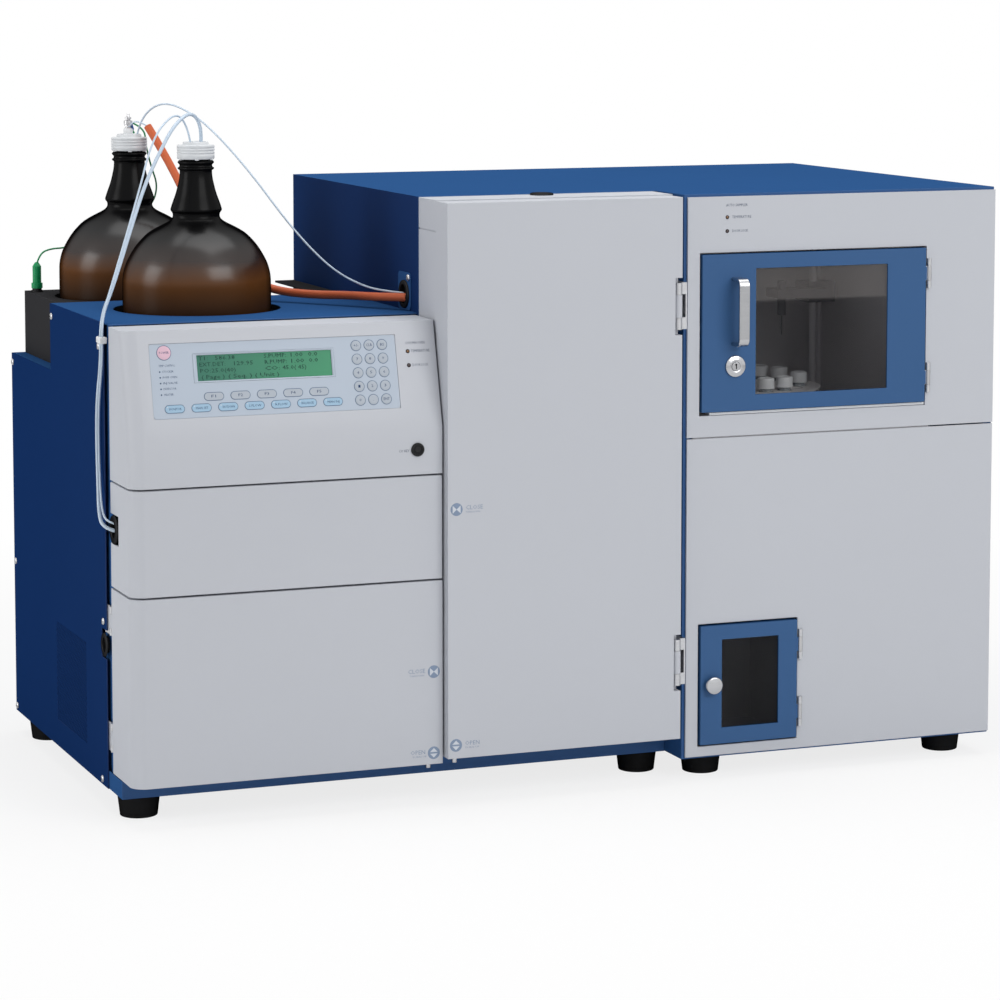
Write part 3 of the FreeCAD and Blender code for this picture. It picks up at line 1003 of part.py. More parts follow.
piece("lock_plug", cut(
    "plug_keyed",
    join("plug_parts", rod("plug_stem", "Y", "plug_radius", LOCK_X, f"{LEAF_FRONT} - 3.4",
                           LOCK_Z, "20.4"),
         box("plug_cam", f"{LOCK_X} - 5", f"{LOCK_X} + 5", f"{LEAF_FRONT} + 15.4",
             f"{LEAF_FRONT} + 17", f"{LOCK_Z} - 18", LOCK_Z)),
    box("keyhole", f"{LOCK_X} - 0.8", f"{LOCK_X} + 0.8", f"{LEAF_FRONT} - 4",
        f"{LEAF_FRONT} + 4", f"{LOCK_Z} - 3.4", f"{LOCK_Z} + 3.4")))

KX0, KX1, KZ0, KZ1 = RECESS["small"]
small_leaf, small_moving, small_pane = leaf(
    "small_leaf", RECESS["small"], ("leaf_gap", "(leaf_gap - 0.5)", "leaf_gap", "leaf_gap"),
    (f"({KX0} + 27.7)", f"({KX1} - 24.4)", f"({KZ0} + 19.9)", f"({KZ1} - 18)"),
    (f"({KZ0} + 14.4)", f"({KZ1} - 46.3)"))
piece("small_door", join("small_leaf_hinged", small_leaf, *small_moving))
piece("small_window", small_pane)
KNOB_X = f"({KX0} + 15.7)"
KNOB_Z = f"({KZ0} + 69.3)"
piece("small_knob", join(
    "knob_turned", rod("knob_stem", "Y", "5", KNOB_X, f"{LEAF_FRONT} - 4", KNOB_Z, "4"),
    rod("knob_head", "Y", "knob_radius", KNOB_X, f"{LEAF_FRONT} - 9", KNOB_Z, "5.5")))
piece("small_chamber", cut(
    "small_chamber_hollow",
    box("small_chamber_outer", f"{KX0} - chamber_wall", f"{KX1} + chamber_wall", CASE_FRONT,
        f"{CASE_FRONT} + 120", f"{KZ0} - chamber_wall", f"{KZ1} + chamber_wall"),
    box("small_chamber_inner", KX0, KX1, f"{CASE_FRONT} - 1",
        f"{CASE_FRONT} + 120 - chamber_wall", KZ0, KZ1)))
piece("door_hinges", group("hinge_set", *hinge_parts))

# pump and electronics inside the left module
heads = []
for k in range(2):
    hx = f"(left_width / 2 + {-60 + 120 * k})"
    heads += [rod(f"pump_head{k}", "Y", "26", hx, f"{COVER_BACK} - 34", f"{BASE_Z} + 110", "60"),
              rod(f"pump_port{k}_low", "Z", "5", hx, f"{COVER_BACK} - 20", f"{BASE_Z} + 68",
                  "84")]
piece("pump_unit", join(
    "pump_parts",
    box("pump_case", "left_width / 2 - 130", "left_width / 2 + 130", f"{COVER_BACK} + 14",
        f"{COVER_BACK} + 260", f"{BASE_Z} + sheet", f"{BASE_Z} + 190"),
    box("pump_face", "left_width / 2 - 140", "left_width / 2 + 140", f"{COVER_BACK} + 6",
        f"{COVER_BACK} + 15", f"{BASE_Z} + sheet", f"{BASE_Z} + 205"),
    rod("purge_valve", "Y", "12", "left_width / 2", f"{COVER_BACK} - 16", f"{BASE_Z} + 150",
        "24"), *heads))
piece("electronics", join(
    "electronics_parts",
    box("power_supply", "40", "170", "left_back - 190", "left_back - 14",
        f"{BASE_Z} + 218 + sheet", f"{BASE_Z} + 340"),
    box("board", "160", "310", "left_back - 300", "left_back - 14", f"{BASE_Z} + 218 + sheet",
        f"{BASE_Z} + 235"),
    box("board_parts", "180", "300", "left_back - 280", "left_back - 60", f"{BASE_Z} + 230",
        f"{BASE_Z} + 265")))

# sockets: the hood's round one, the ground post's and the power inlet with its rocker's well
GROUND_X, GROUND_Y = "(tray_left + 9.7)", "(left_back - 26.5)"
inlet = cut(
    "inlet_opened",
    join("inlet_parts",
         box("inlet_flange_block", f"{INLET_X} - 20", f"{INLET_X} + 20", "left_back",
             "left_back + inlet_flange", f"{BASE_Z} + {INLET_Z} - 38",
             f"{BASE_Z} + {INLET_Z} + 38"),
         box("inlet_body", f"{INLET_X} - 13", f"{INLET_X} + 13", "left_back - 30",
             "left_back + 1", f"{BASE_Z} + {INLET_Z} - 32", f"{BASE_Z} + {INLET_Z} + 32")),
    box("rocker_well", f"{INLET_X} - 6.4", f"{INLET_X} + 6.4", "left_back - 20",
        "left_back + 9", f"{BASE_Z} + {INLET_Z} + 6", f"{BASE_Z} + {INLET_Z} + 28"),
    cut("inlet_socket",
        box("inlet_pocket", f"{INLET_X} - 12", f"{INLET_X} + 12", "left_back - 17",
            "left_back + 9", f"{BASE_Z} + {INLET_Z} - 27", f"{BASE_Z} + {INLET_Z} - 10"),
        *[box(f"inlet_blade{k}", f"{INLET_X} + {x} - 1", f"{INLET_X} + {x} + 1",
              "left_back - 18", "left_back - 5", f"{BASE_Z} + {INLET_Z} - {drop}",
              f"{BASE_Z} + {INLET_Z} - {drop} + 4")
          for k, (x, drop) in enumerate(((-7, 18), (0, 23), (7, 18)))]))
piece("panel_sockets", group(
    "socket_group",
    cut("hood_socket", join("hood_socket_parts",
                            rod("socket_ring", "Y", "7.25", SOCKET_X, "cover_front - 1.5",
                                SOCKET_Z, "1.5"),
                            rod("socket_barrel", "Y", "5.9", SOCKET_X, "cover_front - 1",
                                SOCKET_Z, "14")),
        ring("socket_groove", "Y", "4.6", "3", SOCKET_X, "cover_front - 3", SOCKET_Z, "3")),
    join("ground_socket", rod("ground_nut", "Z", "7", GROUND_X, GROUND_Y, tray_top, "2"),
         rod("ground_post", "Z", "5.5", GROUND_X, GROUND_Y, tray_top, "4.5")),
    inlet))
ROCKER_Y = "(left_back + inlet_flange - 9)"
ROCKER_Z = f"({BASE_Z} + {INLET_Z} + 17)"
rocker_flats = []
for k, turn in enumerate((-12, 12)):
    flat = doc.addObject("Part::Box", f"rocker_flat{k}")
    bind(flat, "Length", "20")
    bind(flat, "Width", "10")
    bind(flat, "Height", "30")
    flat.Placement = FreeCAD.Placement(Vector(), FreeCAD.Rotation(Vector(1, 0, 0), turn))
    place(flat, f"{INLET_X} - 10", f"{ROCKER_Y} + 7.4", f"{ROCKER_Z} - {30 if k == 0 else 0}")
    rocker_flats.append(flat)
piece("power_rocker", cut("rocker_shaped", rod("rocker_drum", "X", "8.8", f"{INLET_X} - 6.1",
                                               ROCKER_Y, ROCKER_Z, "12.2"), *rocker_flats))

# guides where tubes pass through the casing: grommets, the clip and a plug in the bezel
CLIP_Z = f"({LEFT_TOP} - 16.9)"
CLIP_Y = f"({SIDE_FRONT} + 0.6)"
notch_centre = f"({NOTCH_LOW} + notch_height / 2)"
mid_grommet = join(
    "mid_grommet",
    box("mid_grommet_body", "cover_inset - 2", f"{COVER_LEFT} + cover_wall",
        f"{COVER_BACK} - notch_width + 9", COVER_BACK, NOTCH_LOW, NOTCH_TOP),
    box("mid_grommet_front", "cover_inset - 2", f"{COVER_LEFT} + cover_wall",
        f"{COVER_BACK} - notch_width", f"{COVER_BACK} - notch_width + 10", f"{NOTCH_LOW} + 9",
        f"{NOTCH_TOP} - 9"),
    *[rod(f"mid_grommet_round{k}", "X", "9", "cover_inset - 2",
          f"{COVER_BACK} - notch_width + 9", z, "cover_wall + 2")
      for k, z in enumerate((f"{NOTCH_LOW} + 9", f"{NOTCH_TOP} - 9"))])
side_grommet = plate("side_grommet", "X", "-1.5", "2.5", f"{SIDE_FRONT} - 6",
                     f"{SIDE_FRONT} + 19.6", f"{BASE_Z} + 141", f"{BASE_Z} + 168.2", "12")
side_rest = box("side_grommet_hold", "0", "1.5", SIDE_FRONT, f"{SIDE_FRONT} + 19",
                f"{BASE_Z} + 140", f"{BASE_Z} + 171")
oven_grommet = join(
    "oven_grommet", rod("oven_grommet_flange", "X", "15.5", f"{ACCESS_X} - 2.5", GROMMET_Y,
                        GROMMET_Z, "2.5"),
    rod("oven_grommet_body", "X", "13", f"{ACCESS_X} - 1", GROMMET_Y, GROMMET_Z, "8"))
bezel_plug = join(
    "bezel_plug", rod("bezel_plug_head", "Z", "13", PLUG_X, PLUG_Y, BEZEL_TOP, "2.6"),
    rod("bezel_plug_stem", "Z", "8.9", PLUG_X, PLUG_Y, f"{BEZEL_TOP} - 7", "8"))
clip = cut("tube_clip", box("clip_block", "-clip_reach", "0", f"{CLIP_Y} - 8", f"{CLIP_Y} + 9",
                            f"{CLIP_Z} - 3.5", f"{CLIP_Z} + 3.5"),
           rod("clip_bore_thick", "Z", "thick_tube / 2 + 0.3", "-4.5", CLIP_Y,
               f"{CLIP_Z} - 5", "10"),
           rod("clip_bore_thin", "Z", "thin_tube / 2 + 0.3", "-4.5", f"{CLIP_Y} - 5",
               f"{CLIP_Z} - 5", "10"))
piece("tube_guides", group("guide_group", mid_grommet, join("side_grommet_whole", side_grommet,
                                                            side_rest),
                           oven_grommet, bezel_plug, clip))

# indicator lamps of the hood and of the sampler's panel
lamps = []
for k, down in enumerate(("32.7", "47.7")):
    lamps.append(slant_rod(f"hood_lamp{k}", "lamp_radius", LAMP_X, down, "-0.6", "6"))
for k, z in enumerate(PANEL_LAMPS):
    lamps.append(rod(f"panel_lamp{k}", "Y", "lamp_radius", PANEL_LAMP_X, "panel_front - 0.6", z,
                     "6"))
piece("indicator_lamps", group("lamp_group", *lamps))

# screws of the casings: low round heads with short shanks
screws = []


def screw(name, axis, x, y, z, shank):
    """A head outside the sheet and a shank through it, along +X or -Y."""
    if axis == "X":
        parts = [rod(name + "_head", "X", "screw_radius", f"({x}) - screw_head", y, z,
                     "screw_head"),
                 rod(name + "_shank", "X", "screw_radius / 2", f"({x}) - 1", y, z,
                     f"{shank} + 1")]
    else:
        parts = [rod(name + "_head", "Y", "screw_radius", x, y, z, "screw_head")]
    screws.append(join(name, *parts) if len(parts) > 1 else parts[0])


for k, (y, z) in enumerate(SIDE_SCREWS):
    screw(f"side_screw{k}", "X", "0", y, f"{BASE_Z} + {z}", "sheet - 0.1")
screw("access_screw", "X", ACCESS_X, "oven_case_front + 28", f"{LEFT_TOP} + 36", "1.1")
for k, (x, z) in enumerate([("12", "60"), ("12", "400"), ("left_width - 12", "60"),
                            ("left_width - 12", "400")]):
    screw(f"rear_screw{k}", "Y", x, "left_back", f"{BASE_Z} + {z}", "0")
for k, (x, z) in enumerate([("left_width + 10", "30"), ("left_width + 10", "595"),
                            (f"{SAMPLER_X} + 12", "30"), (f"{SAMPLER_X} + 12", "595"),
                            (f"{RIGHT_X} - 12", "30"), (f"{RIGHT_X} - 12", "595")]):
    screw(f"main_screw{k}", "Y", x, "tall_back", f"{BASE_Z} + {z}", "0")
piece("casing_screws", group("screw_group", *screws))

# bottles: blown body, domed shoulder and a ringed neck, hollow
BOTTLES = [("bottle_x", "bottle_y"), ("rear_bottle_x", "rear_bottle_y")]


def bottle_form(name, bx, by, inset):
    dome = doc.addObject("Part::Ellipsoid", name + "_dome")
    bind(dome, "Radius1", f"bottle_dome - {inset}")
    bind(dome, "Radius2", f"bottle_radius - {inset}")
    bind(dome, "Radius3", f"bottle_radius - {inset}")
    dome.Angle1 = 0
    dome.Angle2 = 90
    place(dome, bx, by, f"{BOTTLE_Z} + bottle_shoulder")
    lift = f"{BOTTLE_Z} + bottle_height"
    neck = [rod(name + "_body", "Z", f"bottle_radius - {inset}", bx, by,
                f"{BOTTLE_Z} + {inset}", f"bottle_shoulder - {inset}"),
            dome,
            rod(name + "_waist", "Z", f"bottle_neck_radius + 8.1 - {inset}", bx, by,
                f"{lift} - 84", "11"),
            cone(name + "_flare", "Z", f"bottle_neck_radius + 8.1 - {inset}",
                 f"bottle_neck_radius + 10.4 - {inset}", bx, by, f"{lift} - 73", "5"),
            cone(name + "_throat", "Z", f"bottle_neck_radius + 10.4 - {inset}",
                 f"bottle_neck_radius + 3.7 - {inset}", bx, by, f"{lift} - 68", "21"),
            cone(name + "_taper", "Z", f"bottle_neck_radius + 3.7 - {inset}",
                 f"bottle_neck_radius - {inset}", bx, by, f"{lift} - 47", "20"),
            rod(name + "_neck", "Z", f"bottle_neck_radius - {inset}", bx, by, f"{lift} - 27",
                "27" if inset == "0" else "28")]
    if inset == "0":
        neck.append(rod(name + "_bead", "Z", "bottle_neck_radius + 2", bx, by,
                        f"{lift} - 24", "2.6"))
    return join(name, *neck)


bottles = [cut(f"bottle{k}", bottle_form(f"bottle{k}_skin", bx, by, "0"),
               bottle_form(f"bottle{k}_space", bx, by, "bottle_wall"))
           for k, (bx, by) in enumerate(BOTTLES)]
piece("solvent_bottles", group("bottle_pair", *bottles))
CAP_LOW = f"({BOTTLE_Z} + bottle_height - 12.3)"
CAP_TOP = f"({CAP_LOW} + cap_height)"
caps = []
for k, (bx, by) in enumerate(BOTTLES):
    parts = [cut(f"cap{k}_cup", rod(f"cap{k}_skin", "Z", "cap_radius", bx, by, CAP_LOW,
                                    "cap_height"),
                 rod(f"cap{k}_bore", "Z", "bottle_neck_radius", bx, by, f"{CAP_LOW} - 1",
                     "13.3")),
             rod(f"cap{k}_insert", "Z", "14", bx, by, f"{CAP_TOP} - 1", "4.4")]
    if k == 1:
        parts += [rod("fitting_base", "Z", "5.5", "rear_bottle_x - 1", "rear_bottle_y",
                      f"{CAP_TOP} + 3", "7"),
                  rod("fitting_metal", "Z", "3.6", "rear_bottle_x - 1", "rear_bottle_y",
                      f"{CAP_TOP} + 9", "18"),
                  rod("fitting_nut", "Z", "5", "rear_bottle_x - 1", "rear_bottle_y",
                      f"{CAP_TOP} + 15", "4")]
    caps.append(join(f"cap{k}", *parts))
capillary = doc.addObject("Part::Feature", "capillary")
capillary_start, capillary_end = Vector(118, 449.5, 715), Vector(132.4, 431, 716.5)
capillary.Shape = Part.makeCylinder(
    0.9, capillary_start.distanceToPoint(capillary_end), capillary_start,
    capillary_end.sub(capillary_start))
caps[1] = join("rear_cap", caps[1], capillary)
piece("bottle_caps", group("cap_pair", *caps))
piece("ground_plug", join(
    "plug_turned", rod("plug_collar", "Z", "6.5", GROUND_X, GROUND_Y, f"{tray_top} + 4.5", "6"),
    rod("plug_grip", "Z", "5", GROUND_X, GROUND_Y, f"{tray_top} + 10", "20"),
    cone("plug_tail", "Z", "5", "2", GROUND_X, GROUND_Y, f"{tray_top} + 30", "4.5")))


def tube(label, points, diameter):
    """A round tube along straight runs joined by tangent arcs."""
    points = [Vector(*p) for p in points]
    edges, start, radii = [], points[0], []
    for before, corner, after in zip(points, points[1:], points[2:]):
        run_in, run_out = corner.sub(before), after.sub(corner)
        half_turn = run_in.getAngle(run_out) / 2
        short = min(run_in.Length, run_out.Length)
        arc_radius = 0.45 * short / math.tan(half_turn)
        radii.append((round(arc_radius, 1), round(math.degrees(2 * half_turn))))
        run_in.normalize()
        run_out.normalize()
        first = corner - run_in * (0.45 * short)
        last = corner + run_out * (0.45 * short)
        inward = run_out.sub(run_in)
        inward.normalize()
        bulge = corner + inward * (arc_radius / math.cos(half_turn) - arc_radius)
        edges.append(Part.LineSegment(start, first).toShape())
        edges.append(Part.Arc(first, bulge, last).toShape())
        start = last
    edges.append(Part.LineSegment(start, points[-1]).toShape())
    path = Part.Wire(edges)
    ahead = points[1].sub(points[0])
    outline = Part.Wire([Part.Circle(points[0], ahead, diameter / 2).toShape()])
    solid = path.makePipeShell([outline], True, False)
    ratio = solid.Volume / (math.pi * diameter ** 2 / 4 * path.Length)
    print(label, "length", round(path.Length, 1), "volume ratio", round(ratio, 4),
          "radii and turns", radii)
    shape_piece(label, solid)


tube("solvent_tube", [
    (146, 259, 705), (146, 255, 724), (129, 239, 741), (103, 216, 726), (83, 200, 699),
    (62, 187, 664), (40, 168, 615), (16, 149, 560), (-4.5, 131, 532), (-4.5, 131, 482),
    (-4.5, 141, 440), (-4.5, 143, 395), (-6, 134, 352), (-10, 117, 323), (-9, 104, 311),
    (2, 98, 308)], value("thick_tube"))
tube("sample_tube", [
    (131, 248, 705), (128, 247, 722), (112, 233, 740), (86, 210, 725), (70, 196, 700),
    (56, 181, 664), (36, 164, 615), (13, 143, 562), (-4.5, 126, 532), (-4.5, 126, 482),
    (-4.5, 134, 440), (-4.5, 136, 397), (-6, 127, 356), (-9, 109, 328), (-7, 97, 318),
    (2, 92, 316)], value("thin_tube"))
tube("vent_tube", [
    (124, 443, 705), (127, 439, 726), (146, 413, 746), (172, 377, 732), (196, 345, 703),
    (222, 311, 663), (246, 279, 620), (268, 250, 586), (289, 222, 561), (311, 193, 547),
    (328, 171, 543), (344, 153, 542)], value("thin_tube"))
tube("silicone_hose", [
    (133, 430, 716), (143, 416, 694), (157, 397, 660), (172, 375, 617), (190, 351, 578),
    (212, 325, 549), (240, 290, 536), (270, 250, 534), (300, 210, 536), (317, 180, 536.5),
    (331, 158, 537.5), (344, 143.5, 538)], value("hose"))
tube("ground_wire", [
    (25, 526, 554), (29, 527, 566), (42, 529, 571), (62, 535, 571), (98, 545, 577),
    (136, 534, 594), (160, 506, 616), (160, 473, 642), (145, 455, 668), (138, 451, 694),
    (133, 451, 712), (119, 452, 718)], value("wire"))

doc.recompute()
for thing in doc.Objects:
    if "Invalid" in thing.State or "Error" in thing.State:
        raise RuntimeError(f"{thing.Name} {thing.State}")
os.makedirs("parts", exist_ok=True)
labels = [thing.Label for thing in pieces]
if len(set(labels)) != len(labels):
    raise RuntimeError("two pieces share a name")
whole = FreeCAD.BoundBox()
for thing in pieces:
    shape = thing.Shape
    if shape.isNull() or not shape.isValid() or not shape.Solids:
        raise RuntimeError(f"{thing.Label} has no valid solid")
    whole.add(shape.BoundBox)
    shape.exportStep(f"parts/{thing.Label}.step")
    print(thing.Label, "solids", len(shape.Solids), "volume", round(shape.Volume / 1000, 1))
print(len(pieces), "pieces, box", whole)
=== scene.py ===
import bpy
import math
from mathutils import Matrix, Vector


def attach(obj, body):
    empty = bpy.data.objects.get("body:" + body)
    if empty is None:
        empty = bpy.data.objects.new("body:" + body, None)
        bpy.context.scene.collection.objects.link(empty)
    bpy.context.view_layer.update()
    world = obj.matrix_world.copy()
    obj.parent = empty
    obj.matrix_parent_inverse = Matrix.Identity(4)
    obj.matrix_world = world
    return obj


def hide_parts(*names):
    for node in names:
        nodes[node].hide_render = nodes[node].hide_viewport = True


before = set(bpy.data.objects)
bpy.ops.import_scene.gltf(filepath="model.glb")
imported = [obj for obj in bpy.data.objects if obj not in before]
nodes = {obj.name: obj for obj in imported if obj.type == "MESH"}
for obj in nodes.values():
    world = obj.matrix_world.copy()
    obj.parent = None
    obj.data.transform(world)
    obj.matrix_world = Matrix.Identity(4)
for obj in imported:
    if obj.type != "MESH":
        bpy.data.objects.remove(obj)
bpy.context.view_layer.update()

print("frame in place, nodes:", len(nodes))

machine = {
    "left": 500.3, "front": 280.5,  # the row frame's origin, in the machine's own millimetres
    "hoodTop": 521.6, "slantBack": 57.6, "slantTurn": 14.38,
}


def at(x, y, z):  # machine millimetres to metres in the row frame
    return Vector(((x - machine["left"]) / 1000, (y - machine["front"]) / 1000, z / 1000))


def mm(size):
    return size / 1000


def clearPicks():
    if bpy.context.mode != "OBJECT":
        bpy.ops.object.mode_set(mode="OBJECT")
    bpy.ops.object.select_all(action="DESELECT")


def facing(place, *rows):  # from a face's own x, y and outward z to the row frame
    return Matrix.Translation(at(*place)) @ Matrix(rows).to_4x4()


def frontFace(y):  # local x, y up, z out onto an upright face at machine y
    return facing((0, y, 0), (1, 0, 0), (0, 0, -1), (0, 1, 0))


def leftFace(x):  # local x is minus machine y, y up, z out to the left
    return facing((x, 0, 0), (0, 0, -1), (-1, 0, 0), (0, 1, 0))


def rearFace(y):  # local x is minus machine x, y up, z out to the back
    return facing((0, y, 0), (-1, 0, 0), (0, 0, 1), (0, 1, 0))


def topFace(z):  # local x and y are the machine's, z up from a level face
    return Matrix.Translation(at(0, 0, z))


def hoodFace():  # local x, y up the slope, z out of the sloping face
    turn = math.radians(machine["slantTurn"])
    s, c = math.sin(turn), math.cos(turn)
    return facing((0, machine["slantBack"], machine["hoodTop"]), (1, 0, 0), (0, s, -c), (0, c, s))


faces = {
    "hood": hoodFace(), "cover": frontFace(29.2), "panel": frontFace(30.7), "door": frontFace(28),
    "ovenDoor": frontFace(18), "leftSide": leftFace(0), "coverSide": leftFace(1),
    "ovenSide": leftFace(343.1), "leftBack": rearFace(552.5), "mainBack": rearFace(547.2),
    "machine": topFace(0), "carousel": topFace(381.7),
    # local x is machine y, y up, z into the machine from the left
    "sideSheet": facing((0, 0, 0), (0, 0, 1), (1, 0, 0), (0, 1, 0)),
}

# camera at the photograph's viewing angle, and three large soft lamps
camera = {
    "place": (-1.4018, -3.6131, 0.8894), "yaw": 21.288, "pitch": 5.484, "lens": 122.4,
    "shift": 0.20,
}
studio = {
    # name: (place, aimed at, width, height, watts)
    "keyLamp": ((1.2, -3.4, 2.3), (0.1, -0.2, 0.35), 2.6, 2.0, 66),
    "topLamp": ((0.1, 0.1, 2.9), (0.0, 0.0, 0.4), 2.6, 2.2, 44),
    "sideLamp": ((-3.0, 0.1, 1.2), (-0.4, 0.0, 0.35), 1.2, 1.8, 28),
}


def aimed(place, target):
    return (Vector(target) - Vector(place)).to_track_quat("-Z", "Y").to_euler()


def makeCamera():
    clearPicks()
    bpy.ops.object.camera_add(location=camera["place"],
                              rotation=(math.radians(90 - camera["pitch"]), 0,
                                        -math.radians(camera["yaw"])))
    made = bpy.context.object
    made.name = "photo_camera"
    made.data.sensor_width = 36
    made.data.lens = camera["lens"]
    made.data.shift_y = -camera["shift"]
    made.data.clip_end = 50
    bpy.context.scene.camera = made


def makeLamps():
    for name, (place, target, width, height, watts) in studio.items():
        clearPicks()
        bpy.ops.object.light_add(type="AREA", location=place, rotation=aimed(place, target))
        lamp = bpy.context.object
        lamp.name = name
        lamp.data.shape = "RECTANGLE"
        lamp.data.size, lamp.data.size_y = width, height
        lamp.data.energy = watts


makeCamera()
makeLamps()


class Signal:  # a value travelling through a material's nodes
    def __init__(self, tree, socket):
        self.tree, self.socket = tree, socket

    def maths(self, operation, first, second):
        step = self.tree.nodes.new("ShaderNodeMath")
        step.operation = operation
        for place, value in enumerate((first, second)):
            if isinstance(value, Signal):
                self.tree.links.new(value.socket, step.inputs[place])
            else:
                step.inputs[place].default_value = value
        return Signal(self.tree, step.outputs[0])

    def __add__(self, other):
        return self.maths("ADD", self, other)

    def __radd__(self, other):
        return self.maths("ADD", other, self)

    def __sub__(self, other):
        return self.maths("SUBTRACT", self, other)

    def __rsub__(self, other):
        return self.maths("SUBTRACT", other, self)

    def __mul__(self, other):
        return self.maths("MULTIPLY", self, other)

    def __rmul__(self, other):
        return self.maths("MULTIPLY", other, self)

    def __truediv__(self, other):
        return self.maths("DIVIDE", self, other)

    def __rtruediv__(self, other):
        return self.maths("DIVIDE", other, self)

    def __pow__(self, other):
        return self.maths("POWER", self, other)

    def __rpow__(self, other):
        return self.maths("POWER", other, self)

    def __gt__(self, other):
        return self.maths("GREATER_THAN", self, other)

    def held(self, low, high):  # kept between two values
        return self.maths("MINIMUM", self.maths("MAXIMUM", self, low), high)


class Finish:  # one material, built node by node
    def __init__(self, name, **fixed):
        self.material = bpy.data.materials.new(name)
        self.material.use_nodes = True
        self.tree = self.material.node_tree
        self.shader = self.tree.nodes["Principled BSDF"]
        for socket, value in fixed.items():
            self.shader.inputs[socket.replace("_", " ")].default_value = value

    def node(self, kind, settings=None, sockets=None, out=0):
        made = self.tree.nodes.new("ShaderNode" + kind)
        for key, value in (settings or {}).items():
            if key == "stops":
                ramp = made.color_ramp
                while len(ramp.elements) < len(value):
                    ramp.elements.new(0.5)
                for stop, (where, colour) in zip(ramp.elements, value):
                    stop.position, stop.color = where, colour
            else:
                setattr(made, key, value)
        for key, value in (sockets or {}).items():
            if isinstance(value, Signal):
                self.tree.links.new(value.socket, made.inputs[key])
            else:
                made.inputs[key].default_value = value
        return Signal(self.tree, made.outputs[out])

    def place(self):
        return self.node("TexCoord", out="Object")

    def axis(self, letter):
        return self.node("SeparateXYZ", {}, {"Vector": self.place()}, letter)

    def noise(self, scale, detail=2.0, rough=0.5, where=None):
        return self.node("TexNoise", {}, {"Vector": where or self.place(), "Scale": scale,
                                          "Detail": detail, "Roughness": rough}, "Fac")

    def mix(self, factor, first, second):
        return self.node("Mix", {"data_type": "RGBA"}, {0: factor, 6: first, 7: second}, 2)

    def feed(self, socket, signal):
        self.tree.links.new(signal.socket, self.shader.inputs[socket])

    def bump(self, height, strength, distance):
        self.feed("Normal", self.node("Bump", {}, {"Height": height, "Strength": strength,
                                                   "Distance": distance}))

    def blendWith(self, factor, other):  # factor 0 keeps the main shader, 1 gives the other
        mixer = self.tree.nodes.new("ShaderNodeMixShader")
        for place, socket in enumerate((factor.socket, self.shader.outputs[0], other.outputs[0])):
            self.tree.links.new(socket, mixer.inputs[place])
        self.tree.links.new(mixer.outputs[0], self.tree.nodes["Material Output"].inputs[0])

    def calmEdges(self, reach, power=1.0):  # gloss fades where the surface turns away
        flat = self.tree.nodes.new("ShaderNodeBsdfPrincipled")
        flat.inputs["Specular IOR Level"].default_value = 0.0
        for socket in ("Base Color", "Normal", "Roughness"):
            for link in list(self.shader.inputs[socket].links):
                self.tree.links.new(link.from_socket, flat.inputs[socket])
        turn = self.node("LayerWeight", {}, {"Blend": 0.5}, "Facing")
        self.blendWith(((turn ** power) * reach).held(0.0, 1.0), flat)


def ink(red, green, blue):  # screen colour, 0 to 255, to the linear colour nodes take
    def line(v):
        v /= 255
        return v / 12.92 if v <= 0.04045 else ((v + 0.055) / 1.055) ** 2.4
    return (line(red), line(green), line(blue), 1.0)


def shade(colour, times):
    return tuple(min(1.0, c * times) for c in colour[:3]) + (1.0,)


def coated(name, colour, rough, drift, grain, peel, specular=0.5, calm=0.0, metal=0.0, coat=0.0,
           distance=0.00025):
    made = Finish(name, Metallic=metal, Coat_Weight=coat, Specular_IOR_Level=specular)
    broad = made.noise(7.0, 3.0, 0.55)
    fine = made.noise(grain, 2.0, 0.6)
    made.feed("Base Color", made.mix(broad * 0.7 + fine * 0.3, shade(colour, 1 - drift),
                                     shade(colour, 1 + drift)))
    made.feed("Roughness", broad * 0.08 + fine * 0.08 + (rough - 0.08))
    made.bump(fine, peel, distance)
    if calm:
        made.calmEdges(calm)
    return made.material


greyTone = ink(194, 197, 204)
blueTone = ink(46, 85, 136)


# brushed metal, its lines drawn out along one axis
def striped(name, colour, rough, axisScale, drift=0.12, metal=1.0):
    made = Finish(name, Metallic=metal)
    mapping = made.node("Mapping", {}, {"Vector": made.place(), "Scale": axisScale}, "Vector")
    lines = made.noise(1.0, 3.0, 0.6, mapping)
    made.feed("Base Color", made.mix(lines, shade(colour, 1 - drift), shade(colour, 1 + drift)))
    made.feed("Roughness", lines * 0.16 + (rough - 0.08))
    made.bump(lines, 0.12, 0.0002)
    return made.material


def sheer(name, colour, alpha, rough, drift=0.15):
    made = Finish(name, Specular_IOR_Level=0.5)
    smear = made.noise(5.0, 4.0, 0.6)
    made.feed("Base Color", made.mix(smear, shade(colour, 1 - drift), shade(colour, 1 + drift)))
    made.feed("Alpha", smear * 0.04 + alpha)
    made.feed("Roughness", smear * 0.06 + rough)
    return made.material


